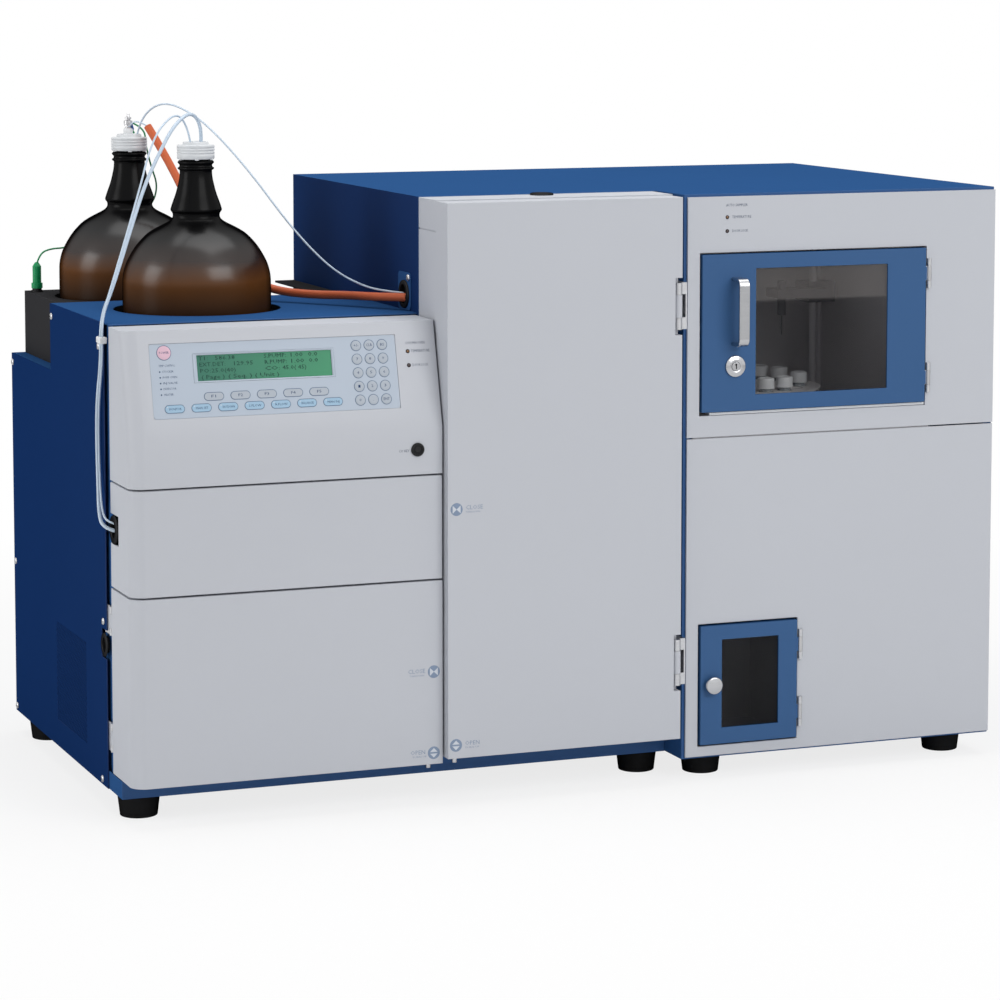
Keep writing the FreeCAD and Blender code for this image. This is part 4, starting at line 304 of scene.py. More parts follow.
def amberGlass():  # near black above, brown below, and darkened to near black at its edges: painted shade that also stands for the longer path through the glass
    made = Finish("amber_glass", Specular_IOR_Level=0.05, Coat_Roughness=0.26)
    cloud = made.noise(9.0, 3.0, 0.5)
    height = made.axis("Z")
    level = (height - 0.515) / 0.09 + (cloud - 0.5) * 0.30
    brown = made.node("ValToRGB", {"stops": [
        (0.0, ink(30, 22, 18)), (0.25, ink(72, 45, 24)), (0.45, ink(94, 57, 26)),
        (0.68, ink(40, 29, 25)), (0.92, ink(9, 9, 10))]}, {"Fac": level}, "Color")
    # painted shade: the colour goes near black where the surface turns away from the view
    turn = made.node("LayerWeight", {}, {"Blend": 0.5}, "Facing")
    edge = ((turn - 0.62) * 3.2).held(0.0, 1.0)
    made.feed("Base Color", made.mix(edge, brown, ink(9, 8, 9)))
    made.feed("Roughness", cloud * 0.06 + 0.22)
    shoulder = (1.0 - (height - 0.585) * (height - 0.585) * 900.0).held(0.0, 1.0)
    made.feed("Coat Weight", (shoulder * 0.94 + 0.06) * (1.0 - edge))
    made.calmEdges(1.6, 1.6)
    return made.material


def smokedWindow():  # a painted reflection, a pale sheen, lies over its upper part
    made = Finish("smoked_window", Specular_IOR_Level=0.5)
    smear = made.noise(5.0, 4.0, 0.6)
    # painted reflection: paler colour and more cover over the window's upper part
    upper = ((made.axis("Z") - 0.529) * 260.0 + smear * 0.1).held(0.0, 1.0)
    made.feed("Base Color", made.mix(upper, ink(38, 38, 42), ink(120, 116, 115)))
    made.feed("Alpha", smear * 0.02 + upper * 0.12 + 0.10)
    made.feed("Roughness", smear * 0.05 + 0.05)
    return made.material


def lcdGlass():
    made = Finish("lcd_green", Specular_IOR_Level=0.25)
    glow = made.noise(14.0, 2.0)
    across = (made.axis("X") + 0.42) / 0.16
    made.feed("Base Color", made.mix(across * 0.7 + glow * 0.3, ink(32, 98, 86), ink(62, 150, 105)))
    made.feed("Roughness", glow * 0.05 + 0.35)
    return made.material


finishes = {
    "grey": coated("grey_moulding", greyTone, 0.44, 0.015, 1100, 0.08, 0.3, 0.8),
    "greyPaint": coated("grey_paint", greyTone, 0.40, 0.012, 1500, 0.06, 0.3, 0.8),
    "blue": coated("blue_paint", blueTone, 0.55, 0.04, 1300, 0.20, 0.3, 1.3),
    # the same blue paint made darker for the left-facing sheets: painted shade
    "blueShadedSide": coated("blue_paint_painted_shade", ink(22, 49, 96), 0.55, 0.05, 1300, 0.20, 0.3, 1.3),
    "blueMoulding": coated("blue_moulding", ink(52, 90, 136), 0.50, 0.035, 1100, 0.14, 0.3, 1.2),
    "trayBlack": coated("tray_black", ink(54, 54, 56), 0.55, 0.10, 1500, 0.20, 0.3, 1.3),
    "black": coated("black_plastic", ink(22, 22, 24), 0.50, 0.12, 1200, 0.15, 0.3, 1.2),
    "rubber": coated("foot_rubber", ink(14, 14, 15), 0.72, 0.15, 700, 0.25, 0.2, 1.2),
    "film": coated("keypad_film", ink(182, 193, 207), 0.42, 0.012, 1800, 0.03, 0.25, 0.8),
    "keyRim": coated("key_outline", ink(92, 112, 140), 0.45, 0.06, 1500, 0.04, 0.25),
    "keyGrey": coated("grey_key", ink(176, 184, 194), 0.42, 0.03, 1500, 0.04, 0.25),
    "keyBlue": coated("blue_key", ink(158, 190, 214), 0.42, 0.03, 1500, 0.04, 0.25),
    "keyPink": coated("pink_key", ink(222, 186, 202), 0.42, 0.03, 1500, 0.04, 0.25),
    "print": coated("blue_print", ink(44, 68, 108), 0.6, 0.08, 900, 0.02, 0.1),
    "greyPrint": coated("grey_print", ink(84, 94, 114), 0.6, 0.08, 900, 0.02, 0.1),
    "mark": coated("mark_print", ink(132, 148, 172), 0.5, 0.05, 900, 0.02, 0.2),
    "markLight": coated("mark_white", ink(206, 211, 219), 0.5, 0.02, 900, 0.02, 0.2),
    "pixels": coated("lcd_pixels", ink(30, 66, 58), 0.5, 0.10, 900, 0.02, 0.1),
    "steel": striped("brushed_steel", ink(196, 197, 200), 0.34, (40, 40, 1600)),
    "bright": striped("bright_steel", ink(188, 189, 192), 0.20, (60, 60, 900), 0.06),
    "chamber": striped("chamber_steel", ink(214, 212, 214), 0.5, (900, 60, 40), 0.04, 0.0),
    "darkLiner": coated("dark_liner", ink(112, 112, 116), 0.5, 0.06, 900, 0.10, 0.3),
    "plated": coated("plated_steel", ink(188, 188, 190), 0.30, 0.08, 300, 0.10, metal=1.0),
    "window": smokedWindow(),
    "wool": coated("insulation_wool", ink(206, 200, 182), 0.95, 0.20, 260, 0.8, distance=0.002),
    "white": coated("white_plastic", ink(228, 230, 232), 0.40, 0.03, 600, 0.06, 0.3),
    "glass": sheer("clear_glass", ink(190, 200, 206), 0.35, 0.05),
    "amber": amberGlass(),
    "capPlastic": sheer("cap_plastic", ink(224, 227, 230), 0.90, 0.30, drift=0.04),
    "tubing": coated("fluor_tubing", ink(196, 212, 228), 0.30, 0.05, 300, 0.05, 0.4),
    "silicone": coated("silicone_rubber", ink(205, 100, 60), 0.55, 0.10, 260, 0.10, 0.3),
    "green": coated("green_plastic", ink(12, 140, 84), 0.40, 0.08, 500, 0.08, 0.3),
    "clampBlue": coated("blue_clip", ink(38, 84, 160), 0.40, 0.08, 500, 0.08, 0.3),
    "lcd": lcdGlass(),
    "circuit": coated("circuit_board", ink(24, 84, 52), 0.45, 0.25, 220, 0.3),
    "amberLamp": coated("amber_lamp", ink(112, 70, 26), 0.20, 0.20, 500, 0.05, coat=0.8),
    "redLamp": coated("red_lamp", ink(52, 16, 20), 0.20, 0.20, 500, 0.05, coat=0.8),
}
nodeFinish = {
    "blue": ["left_frame", "rear_panels"],
    "trayBlack": ["bottle_well"],
    "black": ["panel_sockets", "power_rocker"],
    "rubber": ["oven_door_seal"],
    "steel": ["door_hinges", "oven_fan_wheel", "pump_unit", "detector"],
    "bright": ["pump_latch_pin", "oven_latch_pin", "separation_columns"],
    "chamber": ["oven_liner", "sampler_chamber", "carousel"],
    "darkLiner": ["small_chamber", "needle_arm"],
    "plated": ["oven_blower"],
    "window": ["sampler_window", "small_window"],
    "wool": ["oven_insulation", "oven_door_core"],
    "green": ["ground_plug"],
    "lcd": ["display_module"],
    "circuit": ["electronics"],
}


def dress(thing, finish):
    thing.data.materials.clear()
    thing.data.materials.append(finishes[finish])


for finish, names in nodeFinish.items():
    for name in names:
        dress(nodes[name], finish)
print("finishes made:", len(finishes))

cords = {
    # name: (diameter mm, length m, finish, stiffness, lay, route in machine mm)
    "solvent_tube": (4.0, 0.563, "tubing", "medium", "hanging", [
        (146, 259, 705), (146, 255, 724), (129, 239, 741), (103, 216, 726), (83, 200, 699),
        (62, 187, 664), (40, 168, 615), (14, 141, 560), (-4.5, 122, 530), (-4.5, 121.5, 486),
        (-4.5, 141, 440), (-4.5, 143, 395), (-6, 134, 352), (-10, 117, 323), (-9, 104, 311),
        (2, 98, 308)]),
    "sample_tube": (2.2, 0.543, "tubing", "medium", "hanging", [
        (131, 248, 705), (128, 247, 722), (112, 233, 740), (86, 210, 725), (70, 196, 700),
        (56, 181, 664), (36, 164, 615), (11, 136, 562), (-4.5, 117.5, 530), (-4.5, 117, 486),
        (-4.5, 134, 440), (-4.5, 136, 397), (-6, 127, 356), (-9, 109, 328), (-7, 97, 318),
        (2, 92, 316)]),
    "vent_tube": (2.2, 0.4528, "tubing", "medium", "hanging", [
        (124, 443, 705), (127, 439, 726), (146, 413, 746), (172, 377, 732), (196, 345, 703),
        (222, 311, 663), (246, 279, 620), (268, 250, 586), (289, 222, 561), (311, 193, 547),
        (328, 171, 543), (344, 153, 542)]),
    "silicone_hose": (9.4, 0.4395, "silicone", "medium", "loose", [
        (133, 430, 716), (143, 416, 694), (157, 397, 660), (172, 375, 617), (190, 351, 578),
        (212, 325, 549), (240, 290, 536), (270, 250, 534), (300, 210, 536), (317, 180, 536.5),
        (331, 158, 537.5), (344, 143.5, 538)]),
    "ground_wire": (2.0, 0.3036, "green", "limp", "loose", [
        (25, 526, 554), (29, 527, 566), (42, 529, 571), (62, 535, 571), (98, 545, 578),
        (134, 534, 596), (157, 506, 618), (157, 474, 644), (143, 455, 670), (136, 450, 694),
        (134, 447, 713), (121, 452, 719)]),
}


def softLine(name, route, diameter, steps, sides):
    line = bpy.data.curves.new(name, "CURVE")
    line.dimensions, line.use_fill_caps = "3D", True
    line.resolution_u, line.bevel_resolution = steps, sides
    line.bevel_depth = mm(diameter / 2)
    spline = line.splines.new("NURBS")
    spline.points.add(len(route) - 1)
    for point, spot in zip(spline.points, route):
        point.co = (*at(*spot), 1)
    spline.use_endpoint_u, spline.order_u = True, 3
    made = bpy.data.objects.new(name, line)
    bpy.context.scene.collection.objects.link(made)
    return made


def makeCord(name, diameter, length, finish, stiffness, lay, route):
    cord = softLine(name + "_line", route, diameter, 8, 3)
    dress(cord, finish)
    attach(cord, "cabinet")
    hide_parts(name)
    at(*route[0])
    mm(diameter)
    ["ground_plug"] if name == "ground_wire" else []


for name, facts in cords.items():
    makeCord(name, *facts)
print("cords laid:", len(cords))


def editAll():
    bpy.ops.object.mode_set(mode="EDIT")
    bpy.ops.mesh.select_mode(type="VERT")
    bpy.ops.mesh.select_all(action="SELECT")


def editNone(kind):
    bpy.ops.object.mode_set(mode="EDIT")
    bpy.ops.mesh.select_mode(type=kind)
    bpy.ops.mesh.select_all(action="DESELECT")


def objectMode():
    bpy.ops.object.mode_set(mode="OBJECT")


def drop(*things):
    for thing in things:
        bpy.data.objects.remove(thing, do_unlink=True)


def pick(*things):
    clearPicks()
    for thing in things:
        thing.select_set(True)
    bpy.context.view_layer.objects.active = things[0]


def settle(thing, matrix=None):  # the object's own place goes into its mesh
    bpy.context.view_layer.update()
    thing.data.transform(thing.matrix_world)
    thing.matrix_world = Matrix.Identity(4)
    if matrix is not None:
        thing.data.transform(matrix)
    return thing


def modified(thing, name, kind, **settings):
    pick(thing)
    made = thing.modifiers.new(name, kind)
    for key, value in settings.items():
        setattr(made, key, value)
    bpy.ops.object.modifier_apply(modifier=made.name)


def push(x=0.0, y=0.0, z=0.0):  # draws the picked faces, edges or points on
    bpy.ops.mesh.extrude_region_move(TRANSFORM_OT_translate={"value": (mm(x), mm(y), mm(z))})


def thicken(thing, height):  # a flat face drawn up into a solid
    pick(thing)
    editAll()
    push(z=height)
    bpy.ops.mesh.select_all(action="SELECT")
    bpy.ops.mesh.normals_make_consistent(inside=False)
    objectMode()


def closeUp(thing, smooth=38):  # merge doubles, face outwards, smooth shallow angles
    pick(thing)
    editAll()
    bpy.ops.mesh.remove_doubles(threshold=0.000004)
    bpy.ops.mesh.normals_make_consistent(inside=False)
    objectMode()
    bpy.ops.object.shade_smooth_by_angle(angle=math.radians(smooth))
    return thing


def join(*things):
    pick(*things)
    if len(things) > 1:
        bpy.ops.object.join()
    return bpy.context.object


def copyAt(thing, x, y=0.0):  # a copy with its own mesh, moved by local millimetres
    clearPicks()
    copy = thing.copy()
    copy.data = thing.data.copy()
    bpy.context.scene.collection.objects.link(copy)
    copy.data.transform(Matrix.Translation((mm(x), mm(y), 0)))
    return copy


def soften(thing, width, steps=2, angle=30):
    modified(thing, "soft_edge", "BEVEL", width=mm(width), segments=steps, limit_method="ANGLE",
             angle_limit=math.radians(angle), use_clamp_overlap=True)
    bpy.ops.object.shade_smooth_by_angle(angle=math.radians(40))
    # large faces shade flat
    modified(thing, "even_normals", "WEIGHTED_NORMAL", keep_sharp=True, weight=100)
    return thing


def carve(thing, *tools):  # cuts the tools' shapes out of the piece
    for tool in tools:
        modified(thing, "carved", "BOOLEAN", operation="DIFFERENCE", solver="EXACT", object=tool)
        drop(tool)
    return thing


def block(x0, x1, y0, y1, z0, z1, soft=0.0, steps=2):  # local millimetres
    clearPicks()
    bpy.ops.mesh.primitive_plane_add(size=1, location=(mm(x0 + x1) / 2, mm(y0 + y1) / 2, mm(z0)))
    made = bpy.context.object
    made.scale = (mm(x1 - x0), mm(y1 - y0), 1)
    thicken(settle(made), z1 - z0)
    return soften(made, soft, steps) if soft else made


# outline of (radius, height) in mm
def turned(outline, x=0.0, y=0.0, z=0.0, steps=48, smooth=38):
    clearPicks()
    radius, height = outline[0]
    bpy.ops.mesh.primitive_plane_add(size=mm(0.5), location=(mm(radius), 0, mm(height)))
    made = settle(bpy.context.object)
    editAll()
    bpy.ops.mesh.merge(type="CENTER")
    for nextRadius, nextHeight in outline[1:]:
        push(nextRadius - radius, 0, nextHeight - height)
        radius, height = nextRadius, nextHeight
    bpy.ops.mesh.select_all(action="SELECT")
    bpy.ops.mesh.spin(steps=steps, angle=math.tau, center=(0, 0, 0), axis=(0, 0, 1))
    objectMode()
    closeUp(made, smooth)
    made.data.transform(Matrix.Translation((mm(x), mm(y), mm(z))))
    return made


def pill(x, y, width, length, low, high, soft, inset=0.0):  # flat, with round ends
    clearPicks()
    half = length / 2
    bpy.ops.mesh.primitive_circle_add(vertices=40, radius=mm(half - inset), fill_type="NGON",
                                      location=(mm(x), mm(y), mm(low)))
    made = settle(bpy.context.object)
    for vertex in made.data.vertices:
        aside = vertex.co.x - mm(x)
        if abs(aside) > 1e-6:
            vertex.co.x += math.copysign(mm(width / 2 - half), aside)
    thicken(made, high - low)
    return soften(made, soft)


def words(text, x, y, height, lift, align="LEFT", thick=0.06, span=None):
    clearPicks()
    bpy.ops.object.text_add(location=(0, 0, 0))
    made = bpy.context.object
    made.data.body = text
    made.data.size = mm(height) / 0.7
    made.data.align_x = align
    made.data.align_y = "CENTER"
    made.data.extrude = mm(thick) / 2
    made.data.resolution_u = 1
    bpy.ops.object.convert(target="MESH")
    made = bpy.context.object
    if span:
        made.scale = (mm(span) / made.dimensions.x, 1, 1)
    made.location = (mm(x), mm(y), mm(lift))
    return settle(made)


def finishPiece(thing, name, finish, slot, face=None, body="cabinet", stands=()):
    settle(thing, faces.get(face))
    thing.name = name
    thing.data.name = name
    dress(thing, finish)
    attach(thing, body)
    if stands:
        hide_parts(*stands)
    return thing


def nodeCopy(node):  # a node's mesh, merged into clean faces
    copy = nodes[node].copy()
    copy.data = nodes[node].data.copy()
    for key in list(copy.keys()):
        del copy[key]
    bpy.context.scene.collection.objects.link(copy)
    pick(copy)
    editAll()
    bpy.ops.mesh.remove_doubles(threshold=0.00001)
    bpy.ops.mesh.dissolve_limited(angle_limit=math.radians(0.6))
    objectMode()
    return copy


print("tools ready")

eased = {
    # node: (new name, finish, width of the edge in mm, slot, and the body if it moves)
    "control_hood": ("hood_moulding", "grey", 1.0, "panel_grey"),
    "mid_cover": ("middle_moulding", "grey", 1.0, "panel_grey"),
    "pump_door": ("pump_door_moulding", "grey", 1.0, "panel_grey", "pump_door"),
    "oven_bezel": ("oven_bezel_frame", "greyPaint", 0.9, "panel_grey"),
    "oven_door": ("oven_door_pan", "greyPaint", 0.7, "painted_grey", "oven_door"),
    "oven_casing": ("oven_wrap", "blue", 0.6, "blue_paint"),
    "sampler_casing": ("sampler_wrap", "blue", 0.6, "blue_paint"),
    "upper_front_panel": ("upper_panel", "greyPaint", 0.8, "panel_grey"),
    "lower_front_panel": ("lower_panel", "greyPaint", 0.8, "panel_grey"),
    "sampler_door": ("sampler_door_frame", "blueMoulding", 0.7, "blue_moulding", "sampler_door"),
    "small_door": ("small_door_frame", "blueMoulding", 0.7, "blue_moulding", "small_door"),
    "left_top_cover": ("pump_top_sheet", "blue", 0.5, "blue_paint"),
    "base_pan": ("base_fold", "blue", 0.5, "blue_paint"),
    "rear_bottle_tray": ("bottle_tray_moulding", "trayBlack", 0.7, "black_plastic"),
    "join_ledge": ("ledge_fold", "trayBlack", 0.6, "black_plastic"),
    "access_plate": ("access_cover", "blue", 0.3, "blue_paint"),
    "feet": ("rubber_feet", "rubber", 1.0, "rubber"),
}
metalFrom = {"sampler_door": 920.5, "small_door": 763.6}  # hinge leaves past this machine x
facesLeft = -0.7  # a normal below this on x looks to the left


def easeEdges():
    for node, (name, finish, width, slot, *body) in eased.items():
        copy = nodeCopy(node)
        soften(copy, width)
        finishPiece(copy, name, finish, slot, None, *(body or ["cabinet"]), (node,))
        if node in metalFrom:
            copy.data.materials.append(finishes["plated"])
            edge = at(metalFrom[node], 0, 0).x
            for face in copy.data.polygons:
                face.material_index = 1 if face.center.x > edge else 0
        if node == "oven_casing":  # its upright left side takes the darker blue, painted shade
            copy.data.materials.append(finishes["blueShadedSide"])
            for face in copy.data.polygons:
                face.material_index = 1 if face.normal.x < facesLeft else 0


easeEdges()
print("edges eased:", len(eased))

panel = {
    "front": 130.4, "back": 552.5, "low": 25.0, "top": 523.9, "stepBack": 363.1, "stepTop": 449.0,
    "notchBack": 150.0, "notchLow": 165.0, "notchTop": 196.0,
    "fieldFront": 218.5, "fieldBack": 350.0, "fieldLow": 56.0, "fieldTop": 167.0,
    "columns": 44, "rows": 37, "rib": 0.42, "corner": 0.55, "sheet": 1.5, "beyond": 900,
}


def sidePanel():  # the left side with its field of small punched holes
    p = panel
    middle = ((p["front"] + p["back"]) / 2, (p["low"] + p["top"]) / 2)
    clearPicks()
    bpy.ops.mesh.primitive_plane_add(size=1, location=(mm(middle[0]), mm(middle[1]), 0))
    sheet = bpy.context.object
    sheet.scale = (mm(p["back"] - p["front"]), mm(p["top"] - p["low"]), 1)
    settle(sheet)
    cuts = [((1, 0), p[k]) for k in ("stepBack", "notchBack", "fieldFront", "fieldBack")]
    cuts += [((0, 1), p[k]) for k in ("stepTop", "notchLow", "notchTop", "fieldLow", "fieldTop")]
    for (nx, ny), where in cuts:
        editAll()
        bpy.ops.mesh.bisect(plane_co=(mm(where) * nx, mm(where) * ny, 0), plane_no=(nx, ny, 0))
        objectMode()

    def within(face, x0, x1, y0, y1):
        x, y = face.center.x * 1000, face.center.y * 1000
        return x0 < x < x1 and y0 < y < y1

    holes = ((p["stepBack"], p["beyond"], p["stepTop"], p["beyond"]),
             (0, p["notchBack"], p["notchLow"], p["notchTop"]),
             (p["fieldFront"], p["fieldBack"], p["fieldLow"], p["fieldTop"]))
    editNone("FACE")
    objectMode()
    for face in sheet.data.polygons:
        face.select = any(within(face, *hole) for hole in holes)
    bpy.ops.object.mode_set(mode="EDIT")
    bpy.ops.mesh.delete(type="FACE")
    bpy.ops.mesh.select_all(action="SELECT")
    bpy.ops.mesh.dissolve_limited(angle_limit=0.01)
    objectMode()
    width, height = p["fieldBack"] - p["fieldFront"], p["fieldTop"] - p["fieldLow"]
    clearPicks()
    bpy.ops.mesh.primitive_grid_add(
        x_subdivisions=p["columns"], y_subdivisions=p["rows"], size=1,
        location=(mm(p["fieldFront"] + width / 2), mm(p["fieldLow"] + height / 2), 0))
    field = bpy.context.object
    field.scale = (mm(width), mm(height), 1)
    settle(field)
    stepX, stepY = width / p["columns"], height / p["rows"]
    editNone("FACE")
    objectMode()
    for face in field.data.polygons:
        column = int((face.center.x * 1000 - p["fieldFront"]) / stepX)
        row = int((face.center.y * 1000 - p["fieldLow"]) / stepY)
        face.select = (column + row) % 2 == 0
    bpy.ops.object.mode_set(mode="EDIT")
    bpy.ops.mesh.inset(thickness=mm(p["rib"]), use_individual=True)
    bpy.ops.mesh.bevel(offset=mm(p["corner"]), affect="VERTICES")
    bpy.ops.mesh.delete(type="FACE")
    objectMode()
    for piece in (sheet, field):
        modified(piece, "sheet", "SOLIDIFY", thickness=mm(p["sheet"]), offset=1)
    soften(sheet, 0.35, 1)
    both = join(sheet, field)
    # the left side sheet takes the darker blue, painted shade
    finishPiece(both, "perforated_side_sheet", "blueShadedSide", "blue_paint", "sideSheet",
                stands=("left_side_panel",))


sidePanel()
print("side panel punched")

screwPlan = {
    "radius": 3.8, "rise": 2.0, "slot": 0.55,
    "side": [(546, 438.6), (543.1, 204.2), (545, 31.7), (355, 509.9), (148.9, 497.6),
             (141.3, 204.1), (151.3, 31.7)],  # machine y and z
    "access": (136, 559.9),
    "rear": [(12, 85), (12, 425), (332.3, 85), (332.3, 425)],  # machine x and z
    "main": [(354.3, 55), (354.3, 620), (637, 55), (637, 620), (996.6, 55), (996.6, 620)],
}


def makeScrews():  # pan heads with a cross recess
    plan = screwPlan
    r, h, s = plan["radius"], plan["rise"], plan["slot"]
    head = turned([(0, -1.2), (1.7, -1.2), (1.7, 0), (r - 0.2, 0), (r, 0.3), (r - 0.15, 0.9),
                   (r - 0.9, 1.55), (r * 0.45, h - 0.1), (0, h)], steps=24)
    head = carve(head, block(-2.1, 2.1, -s, s, h - 1.1, h + 1),
                 block(-s, s, -2.1, 2.1, h - 1.1, h + 1))
    spots = [("leftSide", -y, z) for y, z in plan["side"]]
    spots.append(("ovenSide", -plan["access"][0], plan["access"][1]))
    spots += [("leftBack", -x, z) for x, z in plan["rear"]]
    spots += [("mainBack", -x, z) for x, z in plan["main"]]
    heads = []
    for face, x, y in spots:
        copy = copyAt(head, x, y)
        copy.data.transform(faces[face])
        heads.append(copy)
    drop(head)
    finishPiece(join(*heads), "cross_screws", "plated", "steel", stands=("casing_screws",))


makeScrews()

guides = {
    # name: (face, local x, local y, outer radius, hole radius, rise)
    "cover_grommet": ("coverSide", -96.3, 309.3, 15.4, 8.6, 1.9),
    "panel_grommet": ("leftSide", -137.4, 179.6, 12.9, 7.6, 1.4),
    "wall_grommet": ("ovenSide", -148.8, 541.3, 15.4, 10.4, 2.4),
}
plug = {"x": 482.5, "y": 94.5, "z": 649.5, "radius": 12.9}
clip = {
    "x": (-8, 0), "y": (113.0, 130.0), "z": (503.5, 510.5),
    "tubesAt": -4.5, "bores": ((121.7, 2.25), (117.2, 1.35)),  # each bore's y and radius
}


def makeGuides():
    rings = []
    for face, x, y, outer, hole, rise in guides.values():
        ring = turned([(0, -2.6), (hole, -2.6), (hole, rise - 0.5), (hole + 0.5, rise),
                       (outer - 1.3, rise), (outer - 0.4, rise - 0.35), (outer, rise - 1.0),
                       (outer, -0.1), (hole + 1.2, -0.1), (hole + 1.2, -3.2), (0, -3.2)], x, y)
        ring.data.transform(faces[face])
        rings.append(ring)
    r = plug["radius"]
    cap = turned([(0, -6), (8.8, -6), (8.8, 0), (r, 0), (r, 1.4), (r - 0.8, 2.2), (r - 2.6, 2.5),
                  (r - 3.2, 1.9), (r - 4.2, 1.7), (0, 1.7)])
    cap.data.transform(topFace(plug["z"]) @ Matrix.Translation((mm(plug["x"]), mm(plug["y"]), 0)))
    rings.append(cap)
    finishPiece(join(*rings), "tube_grommets", "black", "rubber", stands=("tube_guides",))
    body = block(*clip["x"], *clip["y"], *clip["z"], 1.4, 3)
    tools = [turned([(0, -6), (r, -6), (r, 16), (0, 16)], clip["tubesAt"], y, clip["z"][0],
                    24)
             for y, r in clip["bores"]]
    body = carve(body, *tools)
    finishPiece(body, "white_tube_clip", "white", "white_plastic", "machine")


makeGuides()
print("screws, grommets and clip made")

lampPlan = {
    # name: (face, local x, local y, finish)
    "hood_high": ("hood", 311, -32.7, "amberLamp"),
    "hood_low": ("hood", 311, -47.7, "redLamp"),
    "panel_high": ("panel", 675.6, 624.4, "amberLamp"),
    "panel_low": ("panel", 675.6, 609.2, "redLamp"),
}


def makeLenses():
    groups = {"amberLamp": [], "redLamp": [], "rim": []}
    for face, x, y, colour in lampPlan.values():
        lens = turned([(0, -1.0), (1.45, -1.0), (1.45, 0.15), (1.1, 0.5), (0.55, 0.68), (0, 0.72)],
                      x, y, 0, 28)
        rim = turned([(1.42, -0.9), (2.1, -0.9), (2.1, 0.25), (1.9, 0.42), (1.6, 0.42), (1.42, 0.2),
                      (1.42, -0.9)], x, y, 0, 28)
        lens.data.transform(faces[face])
        rim.data.transform(faces[face])
        groups[colour].append(lens)
        groups["rim"].append(rim)
    finishPiece(join(*groups["amberLamp"]), "amber_lenses", "amberLamp", "lamp",
                stands=("indicator_lamps",))
    finishPiece(join(*groups["redLamp"]), "red_lenses", "redLamp", "lamp")
    finishPiece(join(*groups["rim"]), "lens_rims", "black", "black_plastic")


makeLenses()

keySwitch = {"x": 314.6, "z": 386.9}


def makeKeySwitch():  # the key switch in the mid cover
    x, z = keySwitch["x"], keySwitch["z"]
    rim = turned([(5.5, -0.4), (7.25, -0.4), (7.25, 1.1), (6.9, 1.55), (6.0, 1.6), (5.5, 1.2),
                  (5.5, -0.4)], x, z)
    finishPiece(rim, "key_switch_rim", "black", "black_plastic", "cover")
    core = turned([(0, 0.5), (1.6, 0.5), (1.6, 1.5), (2.4, 1.75), (3.2, 1.5), (3.5, 1.0),
                   (4.1, 1.0), (4.4, 1.5), (5.4, 1.5), (5.5, 0.2), (0, 0.2)], x, z)
    core = carve(core, block(x - 0.5, x + 0.5, z - 2.9, z + 0.5, 0.6, 3))
    finishPiece(core, "key_switch_core", "black", "black_plastic", "cover")


makeKeySwitch()

pad = {
    "surface": -0.6, "left": 28.0, "width": 270.0, "down": 14.0, "length": 79.0, "film": 0.6,
    "window": (74.0, 154.4, 25.5, 31.0), "rise": 0.5, "line": 0.62,
    "power": (43.9, 23.6, 7.9), "pitch": 28.7, "pillWidth": 21.7, "pillLength": 9.0,
    "menuX": 51.1, "menuDown": 82.7, "functionX": 94.1, "functionDown": 71.2,
    "functions": 5,
    "numberX": 253.7, "numberDown": 24.3, "numberPitch": 14.55, "numberRadius": 5.9,
    "menuWords": ["MONITOR", "MAIN SET", "SHUTDOWN", "S.FLOW", "R.FLOW", "BALANCE", "MAN INJ"],
    "numbers": [["+/-", "CLR", "BS"], ["7", "8", "9"], ["4", "5", "6"], ["1", "2", "3"],
                ["0", ".", "ENT"]],
    "statusX": 37.3, "statusRows": [("STOCKER", 43.4), ("PUMP OVEN", 49.4), ("INJ VALVE", 55.4),
                                    ("DETECTOR", 61.4), ("HEATER", 67.4)],
}


